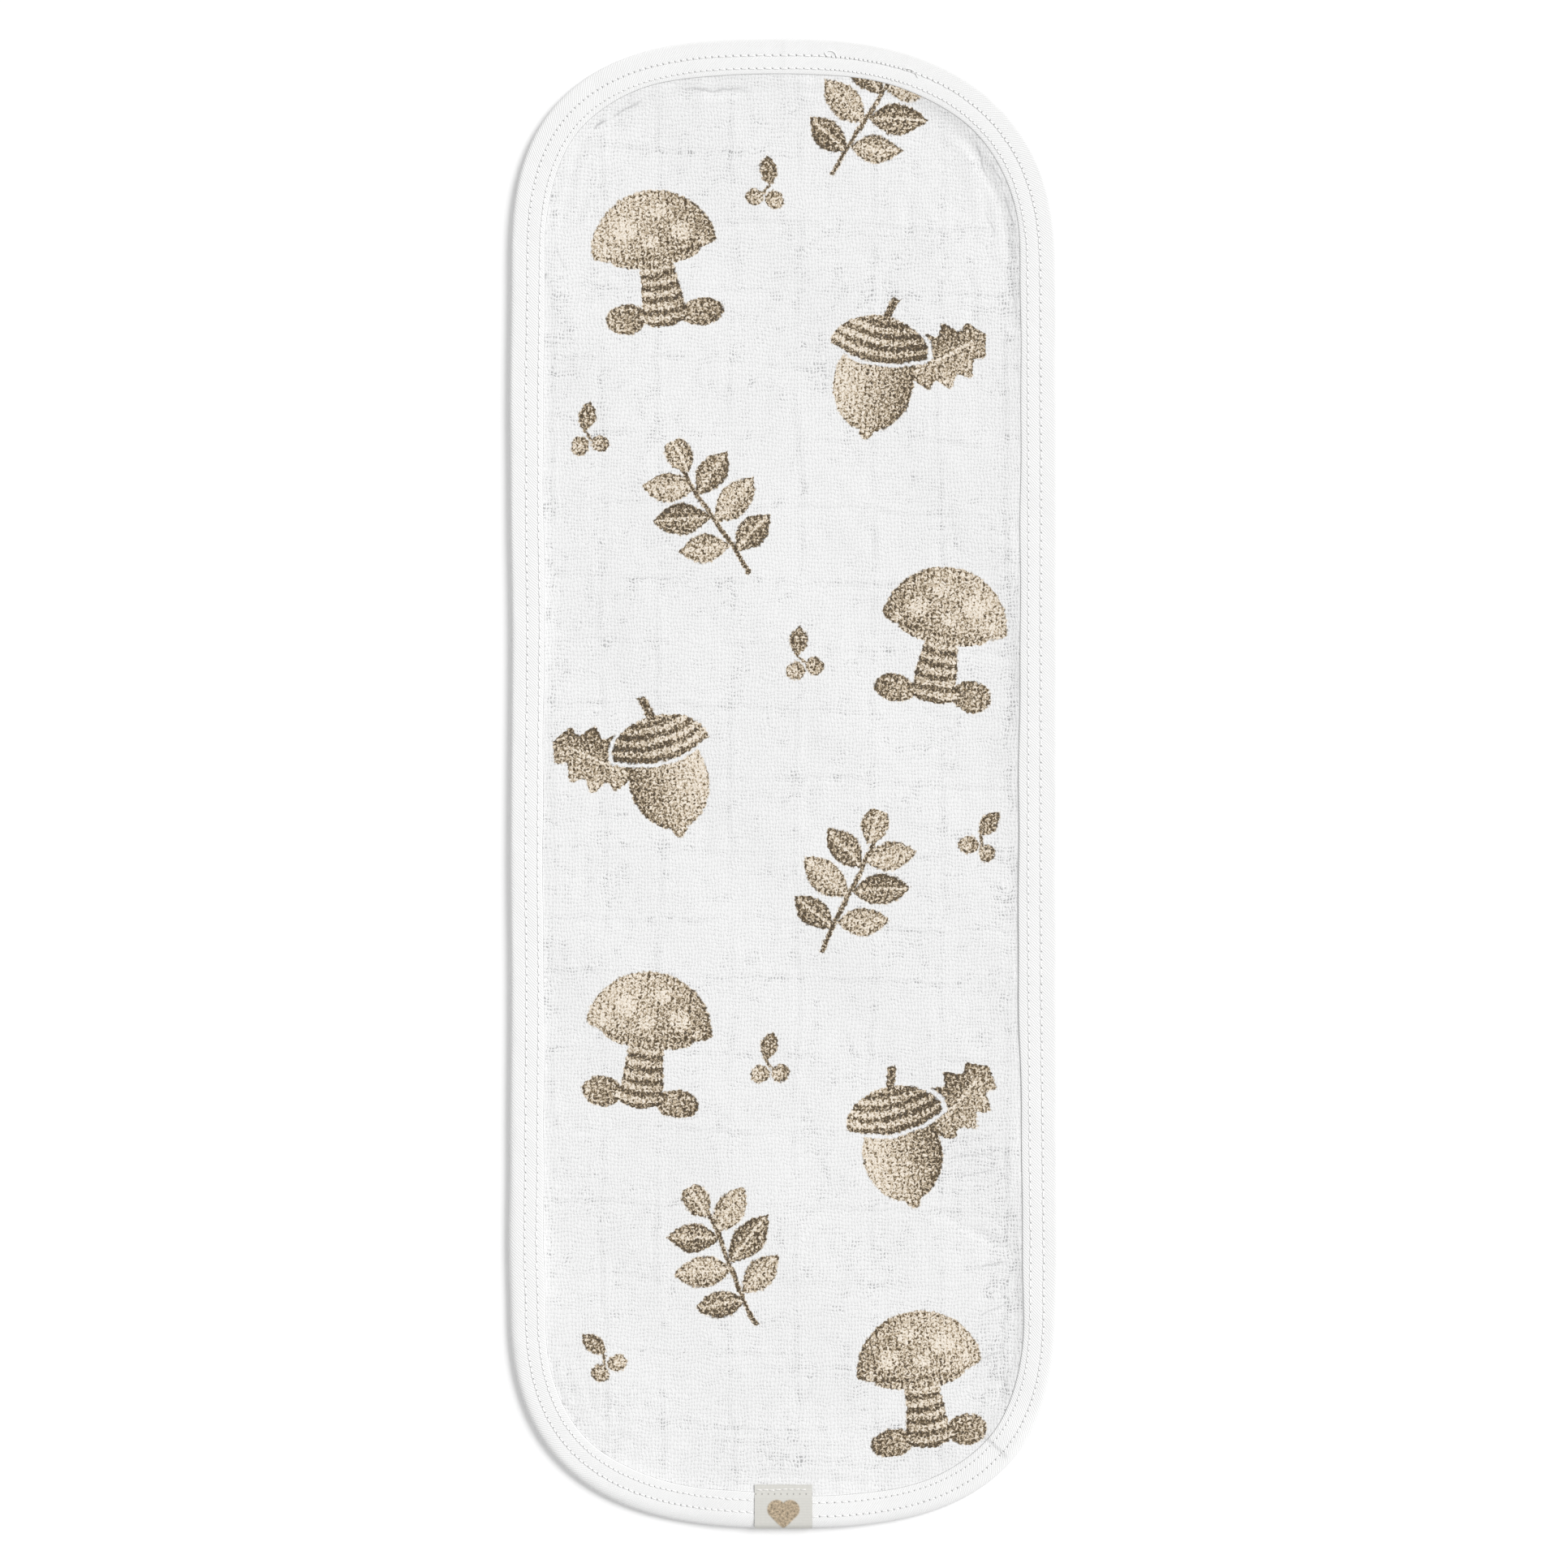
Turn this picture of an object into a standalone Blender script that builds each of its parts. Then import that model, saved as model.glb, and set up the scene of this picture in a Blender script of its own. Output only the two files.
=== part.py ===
"""Burp cloth lying flat: a printed muslin panel, a folded twill binding round its edge and a tape label.

Metres, +Z up. The origin is under the middle of the cloth, on the surface it lies on. +Y points to the
end without the label and +X to the right as seen from above.
"""

import math

import bmesh
import bpy
import numpy as np

MM = 0.001

# Outline of the whole cloth
HALF_WIDTH = 100.0 * MM
HALF_LENGTH = 272.5 * MM
STATIONS_PER_CORNER = 16
STATIONS_PER_SIDE = 28
FINE_STEPS = 360

# Each rounded corner is a quarter of a superellipse. The squareness is its exponent.
CORNER_COLUMNS = ("side", "end", "length", "squareness")
CORNER_ROWS = (
    (1, 1, 87.5 * MM, 2.45),
    (1, -1, 87.5 * MM, 2.80),
    (-1, -1, 83.1 * MM, 2.65),
    (-1, 1, 86.1 * MM, 2.80),
)

# How far each long side wanders outwards from a straight line, along the cloth
WANDER_COLUMNS = ("along", "left", "right")
WANDER_ROWS = (
    (-235.0 * MM, 0.0 * MM, 0.0 * MM),
    (-195.0 * MM, 0.4 * MM, 0.1 * MM),
    (-168.0 * MM, 0.9 * MM, 0.4 * MM),
    (-138.0 * MM, 0.5 * MM, 0.2 * MM),
    (-72.0 * MM, 0.0 * MM, 0.1 * MM),
    (-28.0 * MM, 0.3 * MM, 0.0 * MM),
    (55.0 * MM, -0.3 * MM, 0.1 * MM),
    (105.0 * MM, 0.3 * MM, 0.2 * MM),
    (138.0 * MM, 0.5 * MM, 0.1 * MM),
    (190.0 * MM, 0.0 * MM, 0.0 * MM),
)

# Binding: its visible width and its two sewn rows, measured inwards from the cloth's outer edge. "around" is
# the share of the way round, clockwise from the middle of the end at +Y.
BINDING_COLUMNS = ("around", "width", "outer_row", "inner_row")
BINDING_ROWS = (
    (0.000, 13.4 * MM, 6.7 * MM, 11.5 * MM),
    (0.070, 13.5 * MM, 6.6 * MM, 11.3 * MM),
    (0.250, 13.6 * MM, 6.5 * MM, 11.0 * MM),
    (0.420, 12.2 * MM, 5.0 * MM, 10.0 * MM),
    (0.485, 11.6 * MM, 4.2 * MM, 9.3 * MM),
    (0.515, 13.4 * MM, 6.0 * MM, 10.4 * MM),
    (0.580, 13.0 * MM, 5.9 * MM, 10.3 * MM),
    (0.750, 11.8 * MM, 5.6 * MM, 10.1 * MM),
    (0.930, 12.8 * MM, 6.2 * MM, 11.0 * MM),
    (1.000, 13.4 * MM, 6.7 * MM, 11.5 * MM),
)

# Section of the binding. "across" runs from 0 at the outer edge, over 1 at the outer sewn row and 2 at the
# inner one, to 3 at the inner edge.
FLAP_THICKNESS = 0.8 * MM
SLOT_END = 2.6 * MM
SLOT_FLOOR = FLAP_THICKNESS
SLOT_ROOF = 2.3 * MM
SECTION_COLUMNS = ("across", "height")
SECTION_ROWS = (
    (3.00, 0.0 * MM),
    (1.50, 0.0 * MM),
    (0.45, 0.0 * MM),
    (0.12, 0.4 * MM),
    (0.00, 1.6 * MM),
    (0.10, 2.7 * MM),
    (0.38, 3.4 * MM),
    (0.72, 3.5 * MM),
    (1.00, 3.05 * MM),
    (1.40, 3.5 * MM),
    (2.00, 3.0 * MM),
    (2.50, 3.25 * MM),
    (3.00, 3.05 * MM),
)
SLOT_MIDDLE = 1.5

# Lap where the two ends of the binding strip meet: the upper end lies over the other as a soft step.
LAP_PLACE = 0.4205
LAP_REACH = 0.0085
LAP_STEP = 0.4 * MM

# Panel: rings of its rim inwards from the outer edge. "past_edge" counts from the binding's inner edge.
GAP = 0.3 * MM
RIM_INSET = SLOT_END + GAP + 0.1 * MM
PANEL_THICKNESS = 2.2 * MM
PANEL_ROWS_ACROSS = 14
RIM_COLUMNS = ("past_edge", "under", "over")
RIM_ROWS = (
    (-6.5 * MM, 1.10 * MM, 2.0 * MM),
    (0.4 * MM, 1.10 * MM, 2.0 * MM),
    (2.8 * MM, 0.35 * MM, 2.35 * MM),
    (6.5 * MM, 0.0 * MM, 2.3 * MM),
)
RIM_EDGE_UNDER = 1.15 * MM
RIM_EDGE_OVER = 1.95 * MM

# Long low swells of the muslin
SWELL_COLUMNS = ("height", "waves_x", "waves_y", "phase")
SWELL_ROWS = (
    (0.22 * MM, 7.7, 4.8, 0.4),
    (0.18 * MM, -11.1, 8.3, 1.9),
    (0.10 * MM, 19.0, 13.5, 3.1),
)

# Main puckers, where the binding holds the muslin a little short. Each is a soft ridge between two points.
PUCKER_COLUMNS = ("start", "end", "height", "spread")
PUCKER_ROWS = (
    ((66.0 * MM, 241.0 * MM), (74.0 * MM, 211.0 * MM), 0.60 * MM, 3.6 * MM),
    ((-73.0 * MM, 234.0 * MM), (-54.0 * MM, 248.0 * MM), 0.45 * MM, 3.4 * MM),
    ((-84.0 * MM, 214.0 * MM), (-78.0 * MM, 196.0 * MM), 0.40 * MM, 3.4 * MM),
    ((-60.0 * MM, -238.0 * MM), (-42.0 * MM, -226.0 * MM), 0.35 * MM, 4.0 * MM),
    ((58.0 * MM, -238.0 * MM), (46.0 * MM, -222.0 * MM), 0.35 * MM, 4.0 * MM),
)

# Tape label, folded over the lower edge
LABEL_WIDTH = 21.0 * MM
LABEL_THICKNESS = 0.45 * MM
LABEL_CENTRE_X = -0.3 * MM
LABEL_UPPER_END = 16.0 * MM
LABEL_LOWER_END = 14.5 * MM
LABEL_SLACK = 0.1 * MM
LABEL_STEPS_ACROSS = 6

# The cloth stands this much higher over the label's lower leaf, and settles to the surface away from it.
LABEL_LIFT = GAP + LABEL_THICKNESS
LIFT_FLAT_X = 14.0 * MM
LIFT_FLAT_Y = 22.0 * MM
LIFT_FADE = 26.0 * MM

# Colour, roughness and metallic value of each cloth
MATERIALS = {
    "muslin_panel": ("printed muslin", (0.87, 0.865, 0.855, 1.0), 0.92, 0.0),
    "binding": ("white twill", (0.91, 0.91, 0.90, 1.0), 0.88, 0.0),
    "label": ("beige tape", (0.67, 0.65, 0.60, 1.0), 0.75, 0.0),
}


def table(columns, rows):
    """The rows of a table as one list of values for each named column."""
    return {name: [row[i] for row in rows] for i, name in enumerate(columns)}


def smoothstep(t):
    t = np.clip(t, 0.0, 1.0)
    return t * t * (3.0 - 2.0 * t)


def soft_between(at, places, values):
    """Values between the rows of a table, easing in and out at each row."""
    at = np.asarray(at, float)
    places = np.asarray(places, float)
    values = np.asarray(values, float)
    row = np.clip(np.searchsorted(places, at, side="right") - 1, 0, len(places) - 2)
    part = (at - places[row]) / (places[row + 1] - places[row])
    return values[row] + (values[row + 1] - values[row]) * smoothstep(part)


def fine_corner(side, end, length, squareness):
    """One corner as close points, from the middle of the end to the start of the long side."""
    turn = np.linspace(0.0, 0.5 * math.pi, FINE_STEPS)
    x = side * HALF_WIDTH * np.sin(turn) ** (2.0 / squareness)
    y = end * (HALF_LENGTH - length + length * np.cos(turn) ** (2.0 / squareness))
    return np.stack([x, y], axis=1)


def even_points(path, count):
    """Points at even distances along a path, both its ends included."""
    steps = np.hypot(*np.diff(path, axis=0).T)
    distance = np.concatenate([[0.0], np.cumsum(steps)])
    wanted = np.linspace(0.0, distance[-1], count + 1)
    return np.stack([np.interp(wanted, distance, path[:, axis]) for axis in (0, 1)], axis=1)


def cloth_outline():
    """The outer edge as stations, clockwise from the middle of the end at +Y."""
    corners = {}
    for row in CORNER_ROWS:
        side, end, length, squareness = row
        corners[side, end] = even_points(fine_corner(side, end, length, squareness), STATIONS_PER_CORNER)
    halves = []
    for side in (1, -1):
        upper = corners[side, 1]
        lower = corners[side, -1][::-1]
        long_side = even_points(np.stack([upper[-1], lower[0]]), STATIONS_PER_SIDE)
        halves.append(np.concatenate([upper[:-1], long_side[:-1], lower]))
    right, left = halves
    points = np.concatenate([right[:-1], left[::-1][:-1]])
    wander = table(WANDER_COLUMNS, WANDER_ROWS)
    for name, side in (("left", -1), ("right", 1)):
        out = soft_between(np.clip(points[:, 1], -0.235, 0.190), wander["along"], wander[name])
        points[:, 0] += side * out * (points[:, 0] * side > 0.06)
    return points


def inward_normals(points):
    along = np.roll(points, -1, axis=0) - np.roll(points, 1, axis=0)
    along /= np.hypot(along[:, 0], along[:, 1])[:, None]
    return np.stack([along[:, 1], -along[:, 0]], axis=1)


def share_around(points):
    steps = np.hypot(*(np.roll(points, -1, axis=0) - points).T)
    return np.concatenate([[0.0], np.cumsum(steps)[:-1]]) / steps.sum()


def label_lift(x, y):
    """How far the label's lower leaf raises the cloth above the surface."""
    past_x = np.maximum(np.abs(x - LABEL_CENTRE_X) - LIFT_FLAT_X, 0.0)
    past_y = np.maximum(y + HALF_LENGTH - LIFT_FLAT_Y, 0.0)
    return LABEL_LIFT * (1.0 - smoothstep(np.hypot(past_x, past_y) / LIFT_FADE))


def muslin_relief(x, y):
    """The swells and puckers on the muslin's upper face."""
    height = np.zeros_like(x)
    for rise, waves_x, waves_y, phase in SWELL_ROWS:
        height += rise * np.sin(2.0 * math.pi * (waves_x * x + waves_y * y) + phase)
    for start, end, rise, spread in PUCKER_ROWS:
        run_x = end[0] - start[0]
        run_y = end[1] - start[1]
        part = ((x - start[0]) * run_x + (y - start[1]) * run_y) / (run_x ** 2 + run_y ** 2)
        part = np.clip(part, 0.0, 1.0)
        away = np.hypot(x - start[0] - part * run_x, y - start[1] - part * run_y)
        height += rise * np.exp(-((away / spread) ** 2))
    return height


def loop_of(bm, x, y, z):
    """The vertices of a closed loop through the given points."""
    return [bm.verts.new(point) for point in zip(x, y, z)]


def skin(bm, loops, closed):
    """Joins neighbouring loops with faces, and the last to the first where the section is closed."""
    pairs = list(zip(loops, loops[1:]))
    if closed:
        pairs.append((loops[-1], loops[0]))
    for loop, next_loop in pairs:
        for i in range(len(loop)):
            bm.faces.new((loop[i - 1], loop[i], next_loop[i], next_loop[i - 1]))


def fill_rows(bm, ring, heights):
    """Fills a closed ring with rows of faces from its left half to its right half."""
    half = len(ring) // 2
    rows = [[ring[0]]]
    for i in range(1, half):
        right, left = ring[i], ring[-i]
        inner = []
        for j in range(1, PANEL_ROWS_ACROSS):
            point = left.co.lerp(right.co, j / PANEL_ROWS_ACROSS)
            point.z = heights(point.x, point.y)
            inner.append(bm.verts.new(point))
        rows.append([left] + inner + [right])
    rows.append([ring[half]])
    for row, next_row in zip(rows, rows[1:]):
        tip = row[0] if len(row) == 1 else next_row[0] if len(next_row) == 1 else None
        wide = next_row if len(row) == 1 else row
        for j in range(PANEL_ROWS_ACROSS):
            if tip:
                bm.faces.new((tip, wide[j], wide[j + 1]))
            else:
                bm.faces.new((row[j], row[j + 1], next_row[j + 1], next_row[j]))


def finish(bm, name, smooth_angle):
    """Turns the faces outwards and puts the mesh in the scene with its own material."""
    bmesh.ops.recalc_face_normals(bm, faces=bm.faces)
    mesh = bpy.data.meshes.new(name)
    bm.to_mesh(mesh)
    bm.free()
    mesh.shade_smooth()
    mesh.set_sharp_from_angle(angle=smooth_angle)
    piece = bpy.data.objects.new(name, mesh)
    bpy.context.scene.collection.objects.link(piece)
    title, colour, roughness, metallic = MATERIALS[name]
    material = bpy.data.materials.new(title)
    material.use_nodes = True
    shader = material.node_tree.nodes["Principled BSDF"]
    shader.inputs["Base Color"].default_value = colour
    shader.inputs["Roughness"].default_value = roughness
    shader.inputs["Metallic"].default_value = metallic
    mesh.materials.append(material)
    return piece


def binding_sizes(around):
    sizes = table(BINDING_COLUMNS, BINDING_ROWS)
    return [soft_between(around, sizes["around"], sizes[name]) for name in BINDING_COLUMNS[1:]]


def make_binding(outline, inward, around):
    """The folded strip: one closed section carried round the outline."""
    width, outer_row, inner_row = binding_sizes(around)
    anchors = np.stack([np.zeros_like(width), outer_row, inner_row, width])
    lap = LAP_STEP * np.exp(-(((around - LAP_PLACE) / LAP_REACH) ** 2))
    bm = bmesh.new()

    def loop_at(inset, height, on_top):
        x, y = (outline + inset[:, None] * inward).T
        z = height + label_lift(x, y) + lap * on_top
        return loop_of(bm, x, y, z)

    def inset_of(across):
        step = min(int(across), 2)
        return anchors[step] + (anchors[step + 1] - anchors[step]) * (across - step)

    loops = [loop_at(inset_of(across), height, height > SLOT_ROOF) for across, height in SECTION_ROWS]
    slot_end = np.full_like(width, SLOT_END)
    loops.append(loop_at(width, SLOT_ROOF, False))
    loops.append(loop_at(inset_of(SLOT_MIDDLE), SLOT_ROOF, False))
    loops.append(loop_at(slot_end, SLOT_ROOF, False))
    loops.append(loop_at(slot_end, SLOT_FLOOR, False))
    loops.append(loop_at(inset_of(SLOT_MIDDLE), SLOT_FLOOR, False))
    loops.append(loop_at(width, SLOT_FLOOR, False))
    skin(bm, loops, closed=True)
    return finish(bm, "binding", math.radians(50.0))


def make_panel(outline, inward, around):
    """The muslin: flat below, gently uneven above, and pressed thin where the binding holds it."""
    width = binding_sizes(around)[0]
    bm = bmesh.new()
    deepest = RIM_ROWS[-1]

    def ring_at(inset, height, relief):
        x, y = (outline + inset[:, None] * inward).T
        z = height + label_lift(x, y) + relief * muslin_relief(x, y)
        return loop_of(bm, x, y, z)

    rim_inset = np.full_like(width, RIM_INSET)
    under = [ring_at(rim_inset, RIM_EDGE_UNDER, 0.0)]
    over = [ring_at(rim_inset, RIM_EDGE_OVER, 0.0)]
    for past_edge, low, high in RIM_ROWS:
        under.append(ring_at(width + past_edge, low, 0.0))
        over.append(ring_at(width + past_edge, high, max(past_edge, 0.0) / deepest[0] * (past_edge > 1.0 * MM)))
    skin(bm, under[::-1] + over, closed=False)

    def under_height(x, y):
        return float(label_lift(x, y))

    def over_height(x, y):
        return float(PANEL_THICKNESS + label_lift(x, y) + muslin_relief(np.array([x]), np.array([y]))[0])

    fill_rows(bm, under[-1], under_height)
    fill_rows(bm, over[-1], over_height)
    return finish(bm, "muslin_panel", math.radians(50.0))


def label_section():
    """Half-way line of the folded tape as (inset from the cloth's edge, height), upper end first."""
    clear = GAP + 0.5 * LABEL_THICKNESS
    top = LABEL_LIFT + max(height for _, height in SECTION_ROWS) + clear
    low = 0.5 * LABEL_THICKNESS
    muslin_top = LABEL_LIFT + RIM_ROWS[2][2] + clear + LABEL_SLACK
    path = [(LABEL_UPPER_END, muslin_top), (14.6 * MM, muslin_top + 0.1 * MM), (13.0 * MM, top - 0.35 * MM)]
    path += [(11.4 * MM, top), (6.5 * MM, top + LABEL_SLACK), (2.6 * MM, top)]
    fold_height = 0.5 * (top - low)
    for step in range(1, 8):
        turn = math.pi * step / 8
        path.append((2.2 * MM - (2.2 * MM + clear) * math.sin(turn), low + fold_height * (1.0 + math.cos(turn))))
    path += [(2.6 * MM, low), (8.0 * MM, low), (LABEL_LOWER_END, low)]
    return np.array(path)


def make_label():
    """The tape: its section is thickened to both sides, then carried across the label's width."""
    path = label_section()
    along = np.gradient(path, axis=0)
    along /= np.hypot(along[:, 0], along[:, 1])[:, None]
    across = np.stack([-along[:, 1], along[:, 0]], axis=1) * 0.5 * LABEL_THICKNESS
    section = np.concatenate([path + across, (path - across)[::-1]])
    bm = bmesh.new()
    loops = []
    for x in LABEL_CENTRE_X + np.linspace(-0.5, 0.5, LABEL_STEPS_ACROSS + 1) * LABEL_WIDTH:
        loops.append(loop_of(bm, np.full(len(section), x), section[:, 0] - HALF_LENGTH, section[:, 1]))
    skin(bm, loops, closed=False)
    count = len(path)
    for verts in (loops[0], loops[-1]):
        for i in range(count - 1):
            bm.faces.new((verts[i], verts[i + 1], verts[-2 - i], verts[-1 - i]))
    return finish(bm, "label", math.radians(40.0))


for leftover in list(bpy.data.objects):
    bpy.data.objects.remove(leftover, do_unlink=True)

edge = cloth_outline()
inwards = inward_normals(edge)
places = share_around(edge)
make_panel(edge, inwards, places)
make_binding(edge, inwards, places)
make_label()
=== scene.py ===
import math

import bpy
import numpy as np
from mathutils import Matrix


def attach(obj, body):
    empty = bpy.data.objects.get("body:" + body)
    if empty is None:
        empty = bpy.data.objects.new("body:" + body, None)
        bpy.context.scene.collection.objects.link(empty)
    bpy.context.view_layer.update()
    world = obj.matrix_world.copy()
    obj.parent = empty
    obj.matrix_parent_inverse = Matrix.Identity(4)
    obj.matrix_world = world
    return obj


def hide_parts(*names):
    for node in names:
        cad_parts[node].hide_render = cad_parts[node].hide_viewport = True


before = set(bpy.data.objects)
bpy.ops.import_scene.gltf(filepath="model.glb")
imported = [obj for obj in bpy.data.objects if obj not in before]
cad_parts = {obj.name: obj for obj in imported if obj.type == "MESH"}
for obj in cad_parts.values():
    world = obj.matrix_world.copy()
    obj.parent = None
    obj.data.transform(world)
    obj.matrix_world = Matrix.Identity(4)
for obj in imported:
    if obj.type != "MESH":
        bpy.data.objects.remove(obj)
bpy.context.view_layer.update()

# A burp cloth laid flat: a printed muslin panel in a folded twill binding, with a small tape label

MM = 0.001

# Camera: straight above, with the end without the label at the top of the picture.
PICTURE_WIDTH = 0.5733
LENS_MM = 85.0
SENSOR_MM = 36.0
AIM = (-0.0001, -0.00045)
CLOTH_TOP = 3.0 * MM

# Light: one large soft light from the upper right, and an even sky
KEY_FROM = (1.47, 0.88, 1.50)
KEY_STRENGTH = 2.46
KEY_ANGLE = math.radians(34.0)
SKY_STRENGTH = 0.60

# Outline of the whole cloth, as in the solids
HALF_WIDTH = 100.0 * MM
HALF_LENGTH = 272.5 * MM
CORNER_ROWS = (
    # side, end, length, squareness
    (1, 1, 87.5 * MM, 2.45),
    (1, -1, 87.5 * MM, 2.80),
    (-1, -1, 83.1 * MM, 2.65),
    (-1, 1, 86.1 * MM, 2.80),
)
WANDER_ROWS = (
    # along, left, right
    (-235.0 * MM, 0.0 * MM, 0.0 * MM),
    (-195.0 * MM, 0.4 * MM, 0.1 * MM),
    (-168.0 * MM, 0.9 * MM, 0.4 * MM),
    (-138.0 * MM, 0.5 * MM, 0.2 * MM),
    (-72.0 * MM, 0.0 * MM, 0.1 * MM),
    (-28.0 * MM, 0.3 * MM, 0.0 * MM),
    (55.0 * MM, -0.3 * MM, 0.1 * MM),
    (105.0 * MM, 0.3 * MM, 0.2 * MM),
    (138.0 * MM, 0.5 * MM, 0.1 * MM),
    (190.0 * MM, 0.0 * MM, 0.0 * MM),
)
BINDING_ROWS = (
    # around, width, outer row, inner row, depth of the outer roll, muslin's step down, how far its slope runs
    (0.000, 13.4 * MM, 6.7 * MM, 11.5 * MM, 1.4 * MM, 0.10 * MM, 5.0 * MM),
    (0.070, 13.5 * MM, 6.6 * MM, 11.3 * MM, 1.6 * MM, 0.14 * MM, 4.0 * MM),
    (0.120, 13.6 * MM, 6.5 * MM, 11.2 * MM, 1.6 * MM, 0.22 * MM, 4.0 * MM),
    (0.200, 13.9 * MM, 6.5 * MM, 11.0 * MM, 1.5 * MM, 0.28 * MM, 5.0 * MM),
    (0.290, 14.5 * MM, 6.4 * MM, 11.0 * MM, 1.5 * MM, 0.58 * MM, 8.0 * MM),
    (0.360, 13.3 * MM, 5.8 * MM, 10.5 * MM, 1.7 * MM, 0.40 * MM, 6.0 * MM),
    (0.420, 12.2 * MM, 5.0 * MM, 10.0 * MM, 2.8 * MM, 0.36 * MM, 5.0 * MM),
    (0.485, 11.6 * MM, 4.2 * MM, 9.3 * MM, 4.3 * MM, 0.50 * MM, 4.0 * MM),
    (0.515, 13.4 * MM, 6.0 * MM, 10.4 * MM, 4.3 * MM, 0.50 * MM, 4.0 * MM),
    (0.580, 13.0 * MM, 5.9 * MM, 10.3 * MM, 3.0 * MM, 0.62 * MM, 4.0 * MM),
    (0.750, 11.8 * MM, 5.6 * MM, 10.1 * MM, 1.6 * MM, 0.88 * MM, 4.0 * MM),
    (0.880, 12.4 * MM, 6.0 * MM, 10.6 * MM, 1.7 * MM, 0.62 * MM, 4.0 * MM),
    (0.930, 12.8 * MM, 6.2 * MM, 11.0 * MM, 1.7 * MM, 0.24 * MM, 4.0 * MM),
    (1.000, 13.4 * MM, 6.7 * MM, 11.5 * MM, 1.4 * MM, 0.10 * MM, 5.0 * MM),
)
SWELL_ROWS = (
    # height, waves per metre in x, in y, phase
    (0.22 * MM, 7.7, 4.8, 0.4),
    (0.18 * MM, -11.1, 8.3, 1.9),
    (0.10 * MM, 19.0, 13.5, 3.1),
)

# Folds of the muslin that show in the photo: from, to, height (troughs are negative), spread
CREASE_ROWS = (
    ((62.0 * MM, 238.0 * MM), (72.0 * MM, 212.0 * MM), 0.16 * MM, 2.6 * MM),
    ((67.5 * MM, 234.5 * MM), (79.0 * MM, 212.5 * MM), -0.30 * MM, 1.5 * MM),
    ((79.4 * MM, 212.0 * MM), (83.0 * MM, 191.0 * MM), -0.26 * MM, 1.5 * MM),
    ((72.0 * MM, 219.0 * MM), (77.0 * MM, 199.0 * MM), -0.18 * MM, 1.5 * MM),
    ((-70.5 * MM, 238.6 * MM), (-52.5 * MM, 248.4 * MM), -0.45 * MM, 1.3 * MM),
    ((-72.0 * MM, 232.0 * MM), (-52.0 * MM, 243.5 * MM), 0.22 * MM, 2.4 * MM),
    ((-36.0 * MM, 253.0 * MM), (-13.0 * MM, 252.6 * MM), -0.30 * MM, 1.4 * MM),
    ((-84.0 * MM, 214.0 * MM), (-60.0 * MM, 236.0 * MM), 0.22 * MM, 1.8 * MM),
    ((-80.0 * MM, 206.0 * MM), (-54.0 * MM, 229.0 * MM), -0.22 * MM, 1.5 * MM),
    ((-84.0 * MM, 196.0 * MM), (-68.0 * MM, 212.0 * MM), 0.20 * MM, 1.8 * MM),
    ((44.0 * MM, 214.0 * MM), (47.0 * MM, 196.0 * MM), -0.20 * MM, 1.5 * MM),
    ((68.0 * MM, 186.0 * MM), (71.0 * MM, 150.0 * MM), -0.20 * MM, 1.8 * MM),
    ((58.0 * MM, -158.0 * MM), (84.0 * MM, -172.0 * MM), -0.32 * MM, 1.6 * MM),
    ((70.0 * MM, -176.0 * MM), (84.0 * MM, -173.0 * MM), 0.25 * MM, 1.8 * MM),
    ((69.0 * MM, -196.0 * MM), (83.0 * MM, -190.0 * MM), -0.34 * MM, 1.4 * MM),
    ((66.0 * MM, -215.0 * MM), (81.0 * MM, -208.0 * MM), -0.30 * MM, 1.4 * MM),
    ((-3.0 * MM, -233.0 * MM), (9.0 * MM, -222.0 * MM), -0.28 * MM, 1.6 * MM),
    ((-60.0 * MM, -238.0 * MM), (-42.0 * MM, -226.0 * MM), 0.30 * MM, 3.0 * MM),
    ((58.0 * MM, -238.0 * MM), (46.0 * MM, -222.0 * MM), 0.30 * MM, 3.0 * MM),
    ((38.0 * MM, -243.0 * MM), (56.0 * MM, -232.0 * MM), -0.28 * MM, 1.5 * MM),
)

# Painted shade along sharp fine folds, in millimetres: from, to, half width, how dark
FOLD_SHADE_ROWS = (
    ((-70.5, 238.2), (-64.0, 242.8), 0.42, 1.00),
    ((-64.0, 242.8), (-51.5, 250.2), 0.30, 0.80),
    ((-41.0, 253.8), (-11.0, 253.4), 0.30, 0.80),
    ((69.4, 236.0), (75.2, 219.6), 0.34, 0.80),
    ((75.4, 229.0), (79.6, 216.4), 0.30, 0.70),
    ((79.2, 218.4), (84.8, 199.6), 0.34, 0.80),
    ((73.4, 211.0), (77.0, 199.0), 0.24, 0.55),
    ((83.0, 188.0), (85.0, 168.0), 0.24, 0.55),
    ((-83.5, 199.0), (-80.0, 186.0), 0.24, 0.45),
    ((38.0, -133.5), (60.0, -135.6), 0.26, 0.45),
    ((58.0, -138.0), (82.0, -134.0), 0.26, 0.50),
    ((62.0, -143.6), (80.0, -141.0), 0.24, 0.45),
    ((69.0, -178.0), (83.0, -174.6), 0.28, 0.60),
    ((70.0, -195.4), (82.6, -190.2), 0.28, 0.60),
    ((67.0, -213.8), (80.6, -207.0), 0.28, 0.60),
)

# Lines where the muslin's layers are tied together, in two directions. Each drifts a little.
TIED_UPRIGHT_X = [x * MM for x in (-85.0, -66.0, -45.5, -19.0, 5.0, 32.0, 57.5, 82.0)]
TIED_LEVEL_Y = [
    y * MM
    for y in (230.0, 205.0, 180.0, 153.0, 127.0, 101.0, 73.0, 50.0, 27.0, 1.0,
              -25.0, -51.0, -71.0, -99.0, -128.0, -155.0, -182.0, -209.0, -236.0)
]
TIED_DEPTH = 0.26 * MM
TIED_SPREAD = 1.3 * MM
LEVEL_DROP = 3.0 * MM

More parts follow.
